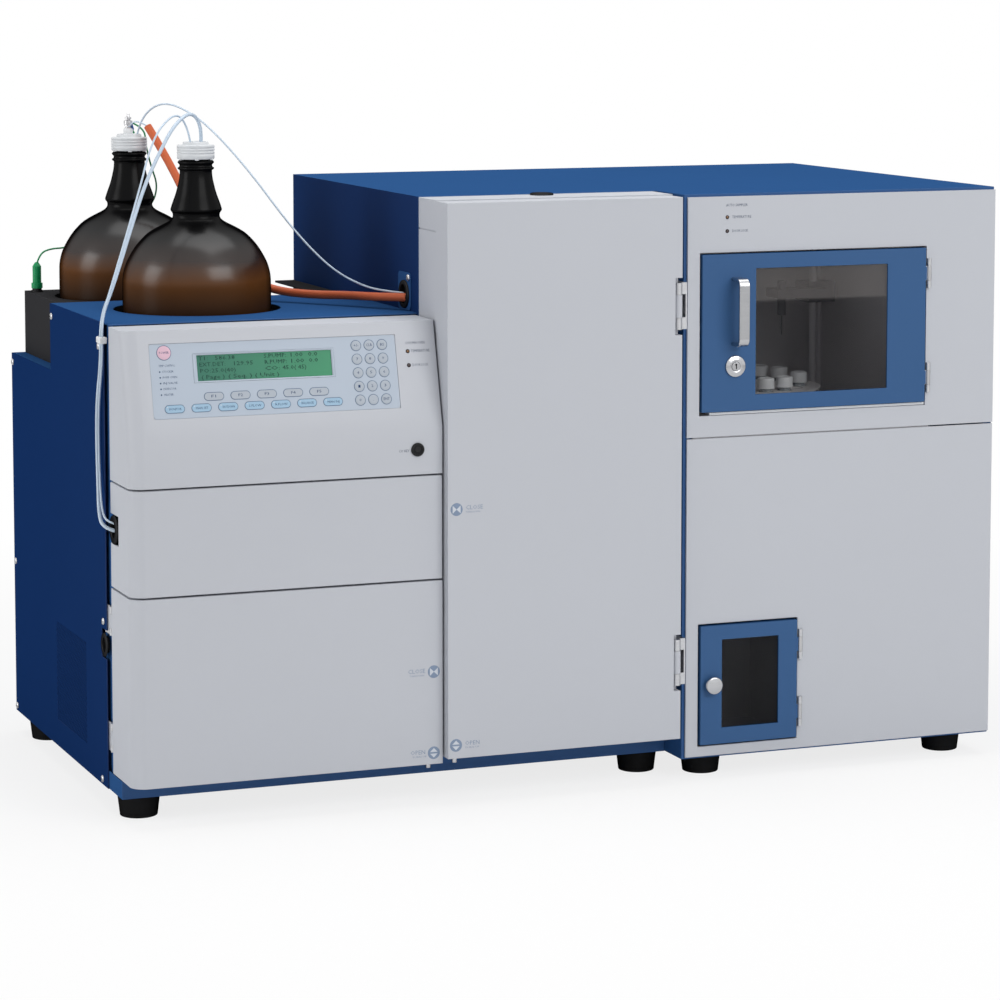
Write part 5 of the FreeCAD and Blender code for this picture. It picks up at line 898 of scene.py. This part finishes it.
def makeKeypad():
    p = pad
    top = p["surface"]  # the film's face, below the hood's sloping face
    film = block(p["left"] + 0.3, p["left"] + p["width"] - 0.3, -p["down"] - p["length"] + 0.3,
                 -p["down"] - 0.3, top - p["film"], top)
    editNone("EDGE")
    objectMode()
    for edge in film.data.edges:
        ends = [film.data.vertices[k].co for k in edge.vertices]
        edge.select = abs(ends[0].z - ends[1].z) > 1e-5
    bpy.ops.object.mode_set(mode="EDIT")
    bpy.ops.mesh.bevel(offset=mm(3.2), segments=6)
    objectMode()
    x, width, down, length = p["window"]
    film = carve(film, block(x, x + width, -down - length, -down, top - 2, top + 2))
    finishPiece(film, "keypad_film", "film", "film", "hood", stands=("keypad_overlay",))

    def roundKey(x, down, radius):
        base = turned([(0, 0), (radius, 0), (radius, 0.16), (radius - 0.12, 0.26), (0, 0.26)],
                      x, -down, top, 36)
        inner = radius - p["line"]
        cap = turned([(0, 0.1), (inner, 0.1), (inner, 0.30), (inner - 0.35, 0.44),
                      (inner * 0.5, p["rise"] - 0.02), (0, p["rise"])], x, -down, top, 36)
        return base, cap

    def pillKey(x, down):
        base = pill(x, -down, p["pillWidth"], p["pillLength"], top, top + 0.26, 0.1)
        cap = pill(x, -down, p["pillWidth"], p["pillLength"], top + 0.1, top + p["rise"], 0.16,
                   p["line"])
        return base, cap

    rims, greys, blues, prints, dots = [], [], [], [], []
    rim, pink = roundKey(*p["power"][:2], p["power"][2])
    rims.append(rim)
    finishPiece(pink, "power_key", "keyPink", "film", "hood")
    firstRim, firstCap = pillKey(p["menuX"], p["menuDown"])
    for k in range(len(p["menuWords"])):
        rims.append(copyAt(firstRim, p["pitch"] * k))
        blues.append(copyAt(firstCap, p["pitch"] * k))
        dots.append(turned([(0, 0.3), (0.62, 0.3), (0.62, 0.56), (0, 0.6)],
                           p["menuX"] + p["pitch"] * k - 7.6, -p["menuDown"] + 2.0, top, 12))
    for k in range(p["functions"]):
        dx, dy = p["functionX"] - p["menuX"] + p["pitch"] * k, p["menuDown"] - p["functionDown"]
        rims.append(copyAt(firstRim, dx, dy))
        greys.append(copyAt(firstCap, dx, dy))
    numberRim, numberCap = roundKey(p["numberX"], p["numberDown"], p["numberRadius"])
    for row, texts in enumerate(p["numbers"]):
        for column in range(len(texts)):
            dx, dy = p["numberPitch"] * column, -p["numberPitch"] * row
            rims.append(copyAt(numberRim, dx, dy))
            greys.append(copyAt(numberCap, dx, dy))
    drop(firstRim, firstCap, numberRim, numberCap)
    finishPiece(join(*rims), "key_outlines", "keyRim", "film", "hood")
    finishPiece(join(*greys), "grey_keys", "keyGrey", "film", "hood")
    finishPiece(join(*blues), "blue_keys", "keyBlue", "film", "hood")

    high = top + p["rise"]
    prints.append(words("POWER", p["power"][0], -p["power"][1], 2.3, high, "CENTER", span=10.4))
    for k, text in enumerate(p["menuWords"]):
        prints.append(words(text, p["menuX"] + p["pitch"] * k + 0.4, -p["menuDown"] - 0.2, 2.4,
                            high, "CENTER", span=13.2))
    for k in range(p["functions"]):
        prints.append(words("F%d" % (k + 1), p["functionX"] + p["pitch"] * k, -p["functionDown"],
                            2.9, high, "CENTER", span=4.9))
    spans = {"+/-": 5.2, "CLR": 6.6, "BS": 4.2, "ENT": 6.6, ".": 0.8}
    for row, texts in enumerate(p["numbers"]):
        for column, text in enumerate(texts):
            prints.append(words(text, p["numberX"] + p["numberPitch"] * column,
                                -p["numberDown"] - p["numberPitch"] * row, 2.9, high, "CENTER",
                                span=spans.get(text, 2.3)))
    prints.append(words("TEMP CONTROL", p["statusX"], -37.2, 2.3, top, span=17.4))
    for text, down in p["statusRows"]:
        prints.append(words(text, p["statusX"] + 3.4, -down, 2.2, top, span=1.7 * len(text)))
        prints.append(turned([(0, 0), (0.8, 0), (0.8, 0.2), (0, 0.3)], p["statusX"] + 0.8,
                           -down, top, 12))
    finishPiece(join(*prints), "key_legends", "print", "film", "hood")
    finishPiece(join(*dots), "key_dots", "markLight", "film", "hood")


makeKeypad()
print("keypad made")

screen = {
    "outer": (74.2, 228.2, 25.7, 56.3), "inner": (78.3, 225.3, 27.5, 54.8), "glass": -1.2,
    "rowsDown": (31.2, 37.7, 44.3, 50.9), "letter": 4.3,
    "texts": [
        # row: [(start x, span, text)]
        [(80.2, 10.3, "T1:"), (98.3, 21.2, "586.38"), (151.3, 24.4, "S.PUMP:"),
         (179.4, 13.1, "1.00"), (200.0, 10.3, "0.0")],
        [(80.7, 28.1, "EXT.DET:"), (117.0, 20.7, "129.95"), (151.7, 24.0, "R.PUMP:"),
         (179.4, 14.0, "1.00"), (200.4, 10.1, "0.0")],
        [(81.1, 38.4, "PO:25.0(40)"), (151.7, 16.0, "CO:"), (171.0, 26.2, "45.0( 45)")],
        [(82.0, 25.0, "( Page )"), (111.0, 25.6, "( Seq. )"), (140.0, 26.3, "( Unit )")],
    ],
}


def makeScreen():
    x0, x1, d0, d1 = screen["outer"]
    i0, i1, e0, e1 = screen["inner"]
    glass = screen["glass"]
    frameRing = block(x0, x1, -d1, -d0, glass, glass + 0.85, 0.2)
    frameRing = carve(frameRing, block(i0, i1, -e1, -e0, glass - 1, glass + 3, 0.4))
    finishPiece(frameRing, "screen_frame", "film", "film", "hood")
    lines = []
    for down, row in zip(screen["rowsDown"], screen["texts"]):
        for start, span, text in row:
            lines.append(words(text, start, -down, screen["letter"], glass + 0.08, thick=0.1,
                               span=span))
    finishPiece(join(*lines), "screen_characters", "pixels", "display", "hood")


makeScreen()

labels = [
    # (face, text, x, y, height, span)
    ("hood", "COLUMN OVEN", 309.0, -24.0, 2.9, 21.6),
    ("hood", "TEMPERATURE", 314.6, -32.7, 2.9, 21.0),
    ("hood", "DOOR LOCK", 315.0, -47.7, 2.9, 17.6),
    ("cover", "CO KEY", 293.5, 386.0, 2.8, 11.8),
    ("panel", "AUTO SAMPLER", 674.0, 637.4, 3.0, 26.0),
    ("panel", "TEMPERATURE", 681.4, 624.4, 3.0, 23.0),
    ("panel", "DOOR LOCK", 681.4, 609.2, 3.0, 19.0),
]
marks = {
    # name: (body, face, x, y, open, word side)
    "pump_close_mark": ("pump_door", "cover", 332.5, 146.5, False, -1),
    "pump_open_mark": ("pump_door", "cover", 332.3, 58.3, True, -1),
    "oven_close_mark": ("oven_door", "ovenDoor", 354.5, 322.0, False, 1),
    "oven_open_mark": ("oven_door", "ovenDoor", 353.5, 66.9, True, 1),
}


def wedge(x, y, reach, half, turn, lift):  # a flat triangle with its tip on the mark's middle
    clearPicks()
    bpy.ops.mesh.primitive_circle_add(vertices=3, radius=mm(1), fill_type="NGON",
                                      location=(0, 0, 0))
    made = settle(bpy.context.object)
    corners = ((0, 0), (half, reach), (-half, reach))
    for vertex, (cx, cy) in zip(made.data.vertices, corners):
        c, s = math.cos(turn), math.sin(turn)
        vertex.co = (mm(x + cx * c - cy * s), mm(y + cx * s + cy * c), mm(lift))
    thicken(made, 0.05)
    return made


def makeLabels():
    texts = []
    for face, text, x, y, height, span in labels:
        made = words(text, x, y, height, 0.04, span=span)
        made.data.transform(faces[face])
        texts.append(made)
    finishPiece(join(*texts), "panel_words", "greyPrint", "film")
    for name, (body, face, x, y, opens, side) in marks.items():
        disc = turned([(0, -0.02), (6.9, -0.02), (6.9, 0.05), (6.75, 0.1), (0, 0.1)], x, y, 0, 48)
        word, small = ("OPEN", "TURN UP") if opens else ("CLOSE", "TURN DOWN")
        span = 16.4 if opens else 19.4
        start = x + side * 10.2 - (span if side < 0 else 0)
        tones = [disc, words(word, start, y + 1.4, 4.6, 0.04, span=span),
                 words(small, start + (2.0 if side < 0 else 0), y - 3.4, 1.8, 0.04, span=16.4)]
        finishPiece(join(*tones), name, "mark", "film", face, body)
        if opens:
            parts = [wedge(x, y + k * 5.2, 4.3, 4.3, 0 if k < 0 else math.pi, 0.1) for k in (-1, 1)]
        else:
            parts = [wedge(x, y, 4.5, 4.3, turn, 0.1) for turn in (math.pi / 2, -math.pi / 2)]
        finishPiece(join(*parts), name + "_light", "markLight", "film", face, body)


makeLabels()
print("words and marks made:", len(labels) + len(marks))

handle = {"x": (679.7, 691.9), "z": (483.3, 558.7), "front": 5.5, "foot": 28.0, "bar": 4.0,
          "bend": 9.0, "edge": 0.9}


def makeHandle():  # one flat bar bent twice, its feet on the door
    h = handle
    low, high, deep = h["z"][0], h["z"][1], h["foot"]
    clearPicks()
    bpy.ops.mesh.primitive_plane_add(size=1, location=at(sum(h["x"]) / 2, deep, low + h["bar"] / 2),
                                     rotation=(math.pi / 2, 0, 0))
    made = bpy.context.object
    made.scale = (mm(h["x"][1] - h["x"][0]), mm(h["bar"]), 1)
    settle(made)
    run = deep - h["front"] - h["bend"]
    editAll()
    bpy.ops.mesh.select_mode(type="FACE")
    push(y=-run)
    bpy.ops.mesh.spin(steps=10, angle=math.pi / 2, axis=(1, 0, 0),
                      center=at(0, deep - run, low + h["bend"]))
    push(z=high - low - 2 * h["bend"])
    bpy.ops.mesh.spin(steps=10, angle=math.pi / 2, axis=(1, 0, 0),
                      center=at(0, deep - run, high - h["bend"]))
    push(y=run)
    objectMode()
    closeUp(made)
    soften(made, h["edge"], 3, 50)
    finishPiece(made, "bent_handle", "bright", "bright_steel", body="sampler_door",
                stands=("sampler_handle",))


makeHandle()

lock = {"x": 684.9, "z": 460.5, "knobX": 659.1, "knobZ": 107.6}


def makeLock():
    x, z = lock["x"], lock["z"]
    body = turned([(5.25, -2), (5.25, 2.5), (5.9, 3.0), (8.4, 3.0), (8.8, 2.7), (10.9, 2.5),
                   (11.6, 2.1), (12.1, 1.3), (12.1, 0), (9.0, 0), (9.0, -2), (5.25, -2)],
                  x, z, 0, 64)
    finishPiece(body, "lock_ring", "bright", "bright_steel", "door", "sampler_door",
                ("sampler_lock",))
    core = turned([(0, -2), (4.95, -2), (4.95, 2.9), (4.6, 3.3), (0, 3.3)], x, z)
    core = carve(core, turned([(0, 1), (1.25, 1), (1.25, 5), (0, 5)], x, z + 1.7, 0, 20),
                 block(x - 0.62, x + 0.62, z - 3.0, z + 1.7, 1, 5))
    finishPiece(core, "lock_core", "bright", "bright_steel", "door", "sampler_lock_plug",
                ("lock_plug",))
    hole = turned([(0, 1.1), (3.4, 1.1), (3.4, 1.2), (0, 1.2)], x, z, 0, 24)
    finishPiece(hole, "lock_keyway", "black", "black_plastic", "door", "sampler_lock_plug")
    knob = turned([(0, 0), (5.6, 0), (5.6, 0.8), (4.8, 1.2), (4.8, 3.6), (8.9, 3.6), (9.7, 4.3),
                   (9.7, 7.6), (9.2, 8.4), (8.3, 8.8), (0, 9.0)],
                  lock["knobX"], lock["knobZ"], 0, 56)
    finishPiece(knob, "turned_knob", "bright", "bright_steel", "door", "small_door",
                ("small_knob",))


makeLock()
print("handle, lock and knob made")

sill = {"x": (656, 921), "y": (32, 45), "z": (406.9, 409.8)}


def makeSill():  # the pale strip under the sampler door, the grey panel's ledge given the white finish: a painted highlight
    strip = block(*sill["x"], *sill["y"], *sill["z"], 0.4)
    finishPiece(strip, "door_sill", "white", "panel_grey", "machine")


makeSill()

vials = {"x": 776.0, "y": 206.0, "ring": 67.0, "pitch": 22.5, "places": (0, 1, 3, 5, 6, 9, 12, 14)}


def makeVials():
    v = vials
    glass = turned([(0, 0), (8.0, 0), (8.9, 0.8), (8.9, 32), (7.2, 36), (7.2, 39.5), (6.4, 39.5),
                    (6.4, 35), (8.1, 31.4), (8.1, 1.6), (0, 1.2)], steps=28)
    cap = turned([(6.9, 37.6), (9.4, 37.6), (9.9, 38.1), (9.9, 39.2), (9.6, 39.4), (9.6, 48.6),
                  (9.1, 49.4), (7.0, 50.0), (6.4, 49.4), (0, 49.4), (0, 46), (6.9, 46),
                  (6.9, 37.6)], steps=32)
    bodies, caps = [], []
    for k in v["places"]:
        turn = math.radians(v["pitch"] * k - 90)
        x, y = v["ring"] * math.cos(turn), v["ring"] * math.sin(turn)
        bodies.append(copyAt(glass, v["x"] + x, v["y"] + y))
        caps.append(copyAt(cap, v["x"] + x, v["y"] + y))
    drop(glass, cap)
    finishPiece(join(*bodies), "vial_glasses", "glass", "clear_bottle", "carousel", "vial_carousel",
                ("sample_vials",))
    finishPiece(join(*caps), "vial_caps", "white", "white_plastic", "carousel", "vial_carousel")


makeVials()

bottles = {
    "front": (138, 252), "rear": (117, 452), "wall": 3.0,
    "outline": [
        # radius and height above the floor, from the foot up
        (0, 458), (50, 455), (67, 452), (74, 452.8), (79, 456), (81.1, 462), (81.3, 480),
        (81.3, 515), (81.3, 548), (80.9, 559), (79.5, 566.5), (77.3, 573.5), (74.2, 580),
        (70.2, 587), (65.8, 593.5), (60.2, 600), (52.7, 607), (42.6, 613), (34.2, 617.2),
        (28.9, 620.4), (26.3, 623.2), (25.6, 626.2), (26.2, 629.0), (27.6, 630.8), (28.1, 632.6),
        (27.7, 634.4), (25.9, 640), (23.5, 646.5), (21.4, 653), (19.7, 660), (18.4, 666),
        (17.8, 671), (17.7, 675.2), (18.7, 676.0), (19.8, 677.0), (19.7, 678.2), (18.2, 679.2),
        (17.8, 681.0), (18.5, 682.2), (19.8, 683.6), (19.6, 685.0), (18.2, 686.4), (17.7, 688.2),
        (17.7, 699.6)],
}


def smoothRun(points, steps=3):  # fills a given outline with points on a soft curve
    filled = [points[0]]
    for k in range(len(points) - 1):
        before, here = points[max(k - 1, 0)], points[k]
        after, beyond = points[k + 1], points[min(k + 2, len(points) - 1)]
        for step in range(1, steps + 1):
            t = step / steps
            filled.append(tuple(
                0.5 * (2 * b + (c - a) * t + (2 * a - 5 * b + 4 * c - d) * t * t
                       + (3 * b - a - 3 * c + d) * t ** 3)
                for a, b, c, d in zip(before, here, after, beyond)))
    return filled


def makeBottles():
    outer = smoothRun(bottles["outline"], 2)
    inner = []
    for k in range(len(outer) - 1, 0, -1):
        r, z = outer[k]
        inner.append((max(r - bottles["wall"], 0.0), z + (bottles["wall"] if z < 470 else 0)))
    whole = outer + inner + [(0, bottles["outline"][0][1] + bottles["wall"])]
    glass = turned(whole, steps=96, smooth=60)
    rear = copyAt(glass, *bottles["rear"])
    front = copyAt(glass, *bottles["front"])
    drop(glass)
    finishPiece(join(front, rear), "amber_bottles", "amber", "clear_bottle", "machine",
                stands=("solvent_bottles",))


makeBottles()
print("bottles blown")

caps = {"low": 687.7, "radius": 20.7, "top": 703.2, "insert": 706.6, "lugs": 6, "lugRing": 18.9}
clamps = {
    # name: (half width and depth, height, soft edge, aside from the stem, low, lean, finish, slot)
    "blue_clamp": ((1.3, 1.8), 8.4, 0.6, 5.6, 711, -16, "clampBlue", "white_plastic"),
    "green_clamp": ((1.0, 1.4), 4.2, 0.5, 7.0, 707.2, -30, "green", "green_plastic"),
}


def ribbedCap(x, y):
    r, low, top = caps["radius"], caps["low"], caps["top"]
    outline = [(17.9, low + 0.6), (18.7, low), (r - 0.9, low), (r - 0.3, low + 0.7),
               (r - 0.1, low + 3.6)]
    for k in range(3):
        z = low + 5.2 + 3.1 * k
        outline += [(r - 0.15, z), (r - 0.55, z + 0.5), (r - 0.55, z + 0.9), (r - 0.1, z + 1.4),
                    (r, z + 2.1)]
    outline += [(r - 0.3, top - 0.5), (r - 1.0, top), (14.6, top), (14.3, top + 0.5),
                (14.0, caps["insert"] - 0.8), (13.3, caps["insert"]), (11.4, caps["insert"]),
                (11.0, caps["insert"] - 0.5), (0, caps["insert"] - 0.5), (0, low + 11.0),
                (17.9, low + 11.0), (17.9, low + 0.6)]
    cap = turned(outline, x, y, 0, 64)
    lugs = []
    for k in range(caps["lugs"]):
        turn = math.tau * k / caps["lugs"] + 0.3
        lugX, lugY = x + caps["lugRing"] * math.cos(turn), y + caps["lugRing"] * math.sin(turn)
        lugs.append(block(lugX - 2.0, lugX + 2.0, lugY - 1.2, lugY + 1.2, low - 1.0, low + 1.0,
                          0.3))
    return join(cap, *lugs)


def makeCaps():
    both = [ribbedCap(*bottles["front"]), ribbedCap(*bottles["rear"])]
    finishPiece(join(*both), "ribbed_caps", "capPlastic", "white_plastic", "machine",
                stands=("bottle_caps",))
    x, y = bottles["rear"][0] - 1, bottles["rear"][1]
    seat = turned([(0, 706), (5.5, 706), (5.5, 711.4), (4.9, 712.4), (4.9, 713), (0, 713)], x, y)
    finishPiece(seat, "fitting_seat", "white", "white_plastic", "machine")
    stem = turned([(0, 712.6), (3.9, 712.6), (3.9, 714.2), (2.6, 714.6), (2.6, 715.6),
                   (4.4, 716.0), (4.4, 717.6), (5.0, 718.0), (5.0, 721.6), (4.4, 722.0),
                   (2.5, 722.6), (2.5, 723.4), (3.7, 723.8), (3.7, 725.6), (2.2, 726.0),
                   (1.7, 727.0), (1.7, 729.4), (1.2, 730.0), (0, 730.0)], x, y, 0, 24)
    finishPiece(stem, "fitting_stem", "plated", "steel", "machine")
    for name, (half, height, soft, aside, low, lean, finish, slot) in clamps.items():
        clamp = block(-half[0], half[0], -half[1], half[1], 0, height, soft)
        clamp.data.transform(Matrix.Translation((mm(x + aside), mm(y), mm(low)))
                             @ Matrix.Rotation(math.radians(lean), 4, "Y"))
        finishPiece(clamp, name, finish, slot, "machine")
    route = [(116, 450, 714), (118.5, 447, 719.5), (124, 440, 721.5), (129, 434, 718.5),
             (132.6, 430.4, 716.2)]
    line = softLine("capillary_line", route, 1.8, 12, 4)
    pick(line)
    bpy.ops.object.convert(target="MESH")
    finishPiece(bpy.context.object, "white_capillary", "tubing", "white_plastic")


makeCaps()
print("caps and fitting made")

stage = {"size": 12, "nearShare": 0.80, "plainFrom": 0.75, "plainBy": 0.9, "ambient": 0.30}


def makeStage():  # pale floor, shadowed near the object, white farther out
    clearPicks()
    bpy.ops.mesh.primitive_plane_add(size=stage["size"], location=(0, 0, 0))
    floor = bpy.context.object
    floor.name = "pale_floor"
    made = Finish("pale_floor", Roughness=0.9, Specular_IOR_Level=0.1)
    drift = made.noise(0.6, 2.0)
    made.feed("Base Color", made.mix(drift, ink(240, 240, 240), ink(250, 250, 250)))
    glow = made.tree.nodes.new("ShaderNodeEmission")
    glow.inputs["Color"].default_value = (1, 1, 1, 1)
    glow.inputs["Strength"].default_value = 1.0
    seen = made.node("LightPath", out="Is Camera Ray")
    place = made.node("VectorMath", {"operation": "LENGTH"}, {0: made.place()}, "Value")
    far = ((place - stage["plainFrom"]) / stage["plainBy"]).held(0.0, 1.0)
    share = far * (1.0 - stage["nearShare"]) + stage["nearShare"]
    made.blendWith(seen * share, glow)
    floor.data.materials.append(made.material)


def makeWorld():
    world = bpy.data.worlds.new("studio_world")
    world.use_nodes = True
    bpy.context.scene.world = world
    tree = world.node_tree
    tree.nodes.clear()
    path = tree.nodes.new("ShaderNodeLightPath")
    camera, glossy, through = (Signal(tree, path.outputs["Is %s Ray" % kind])
                               for kind in ("Camera", "Glossy", "Transmission"))
    seen = camera + glossy + through
    blend = tree.nodes.new("ShaderNodeMixShader")
    tree.links.new((seen > 0.5).socket, blend.inputs[0])
    for place, strength in enumerate((stage["ambient"], 1.0), 1):
        light = tree.nodes.new("ShaderNodeBackground")
        light.inputs["Color"].default_value = (1, 1, 1, 1)
        light.inputs["Strength"].default_value = strength
        tree.links.new(light.outputs[0], blend.inputs[place])
    out = tree.nodes.new("ShaderNodeOutputWorld")
    tree.links.new(blend.outputs[0], out.inputs[0])


makeStage()
makeWorld()
bpy.context.scene.view_settings.view_transform = "Standard"
print("stage set")
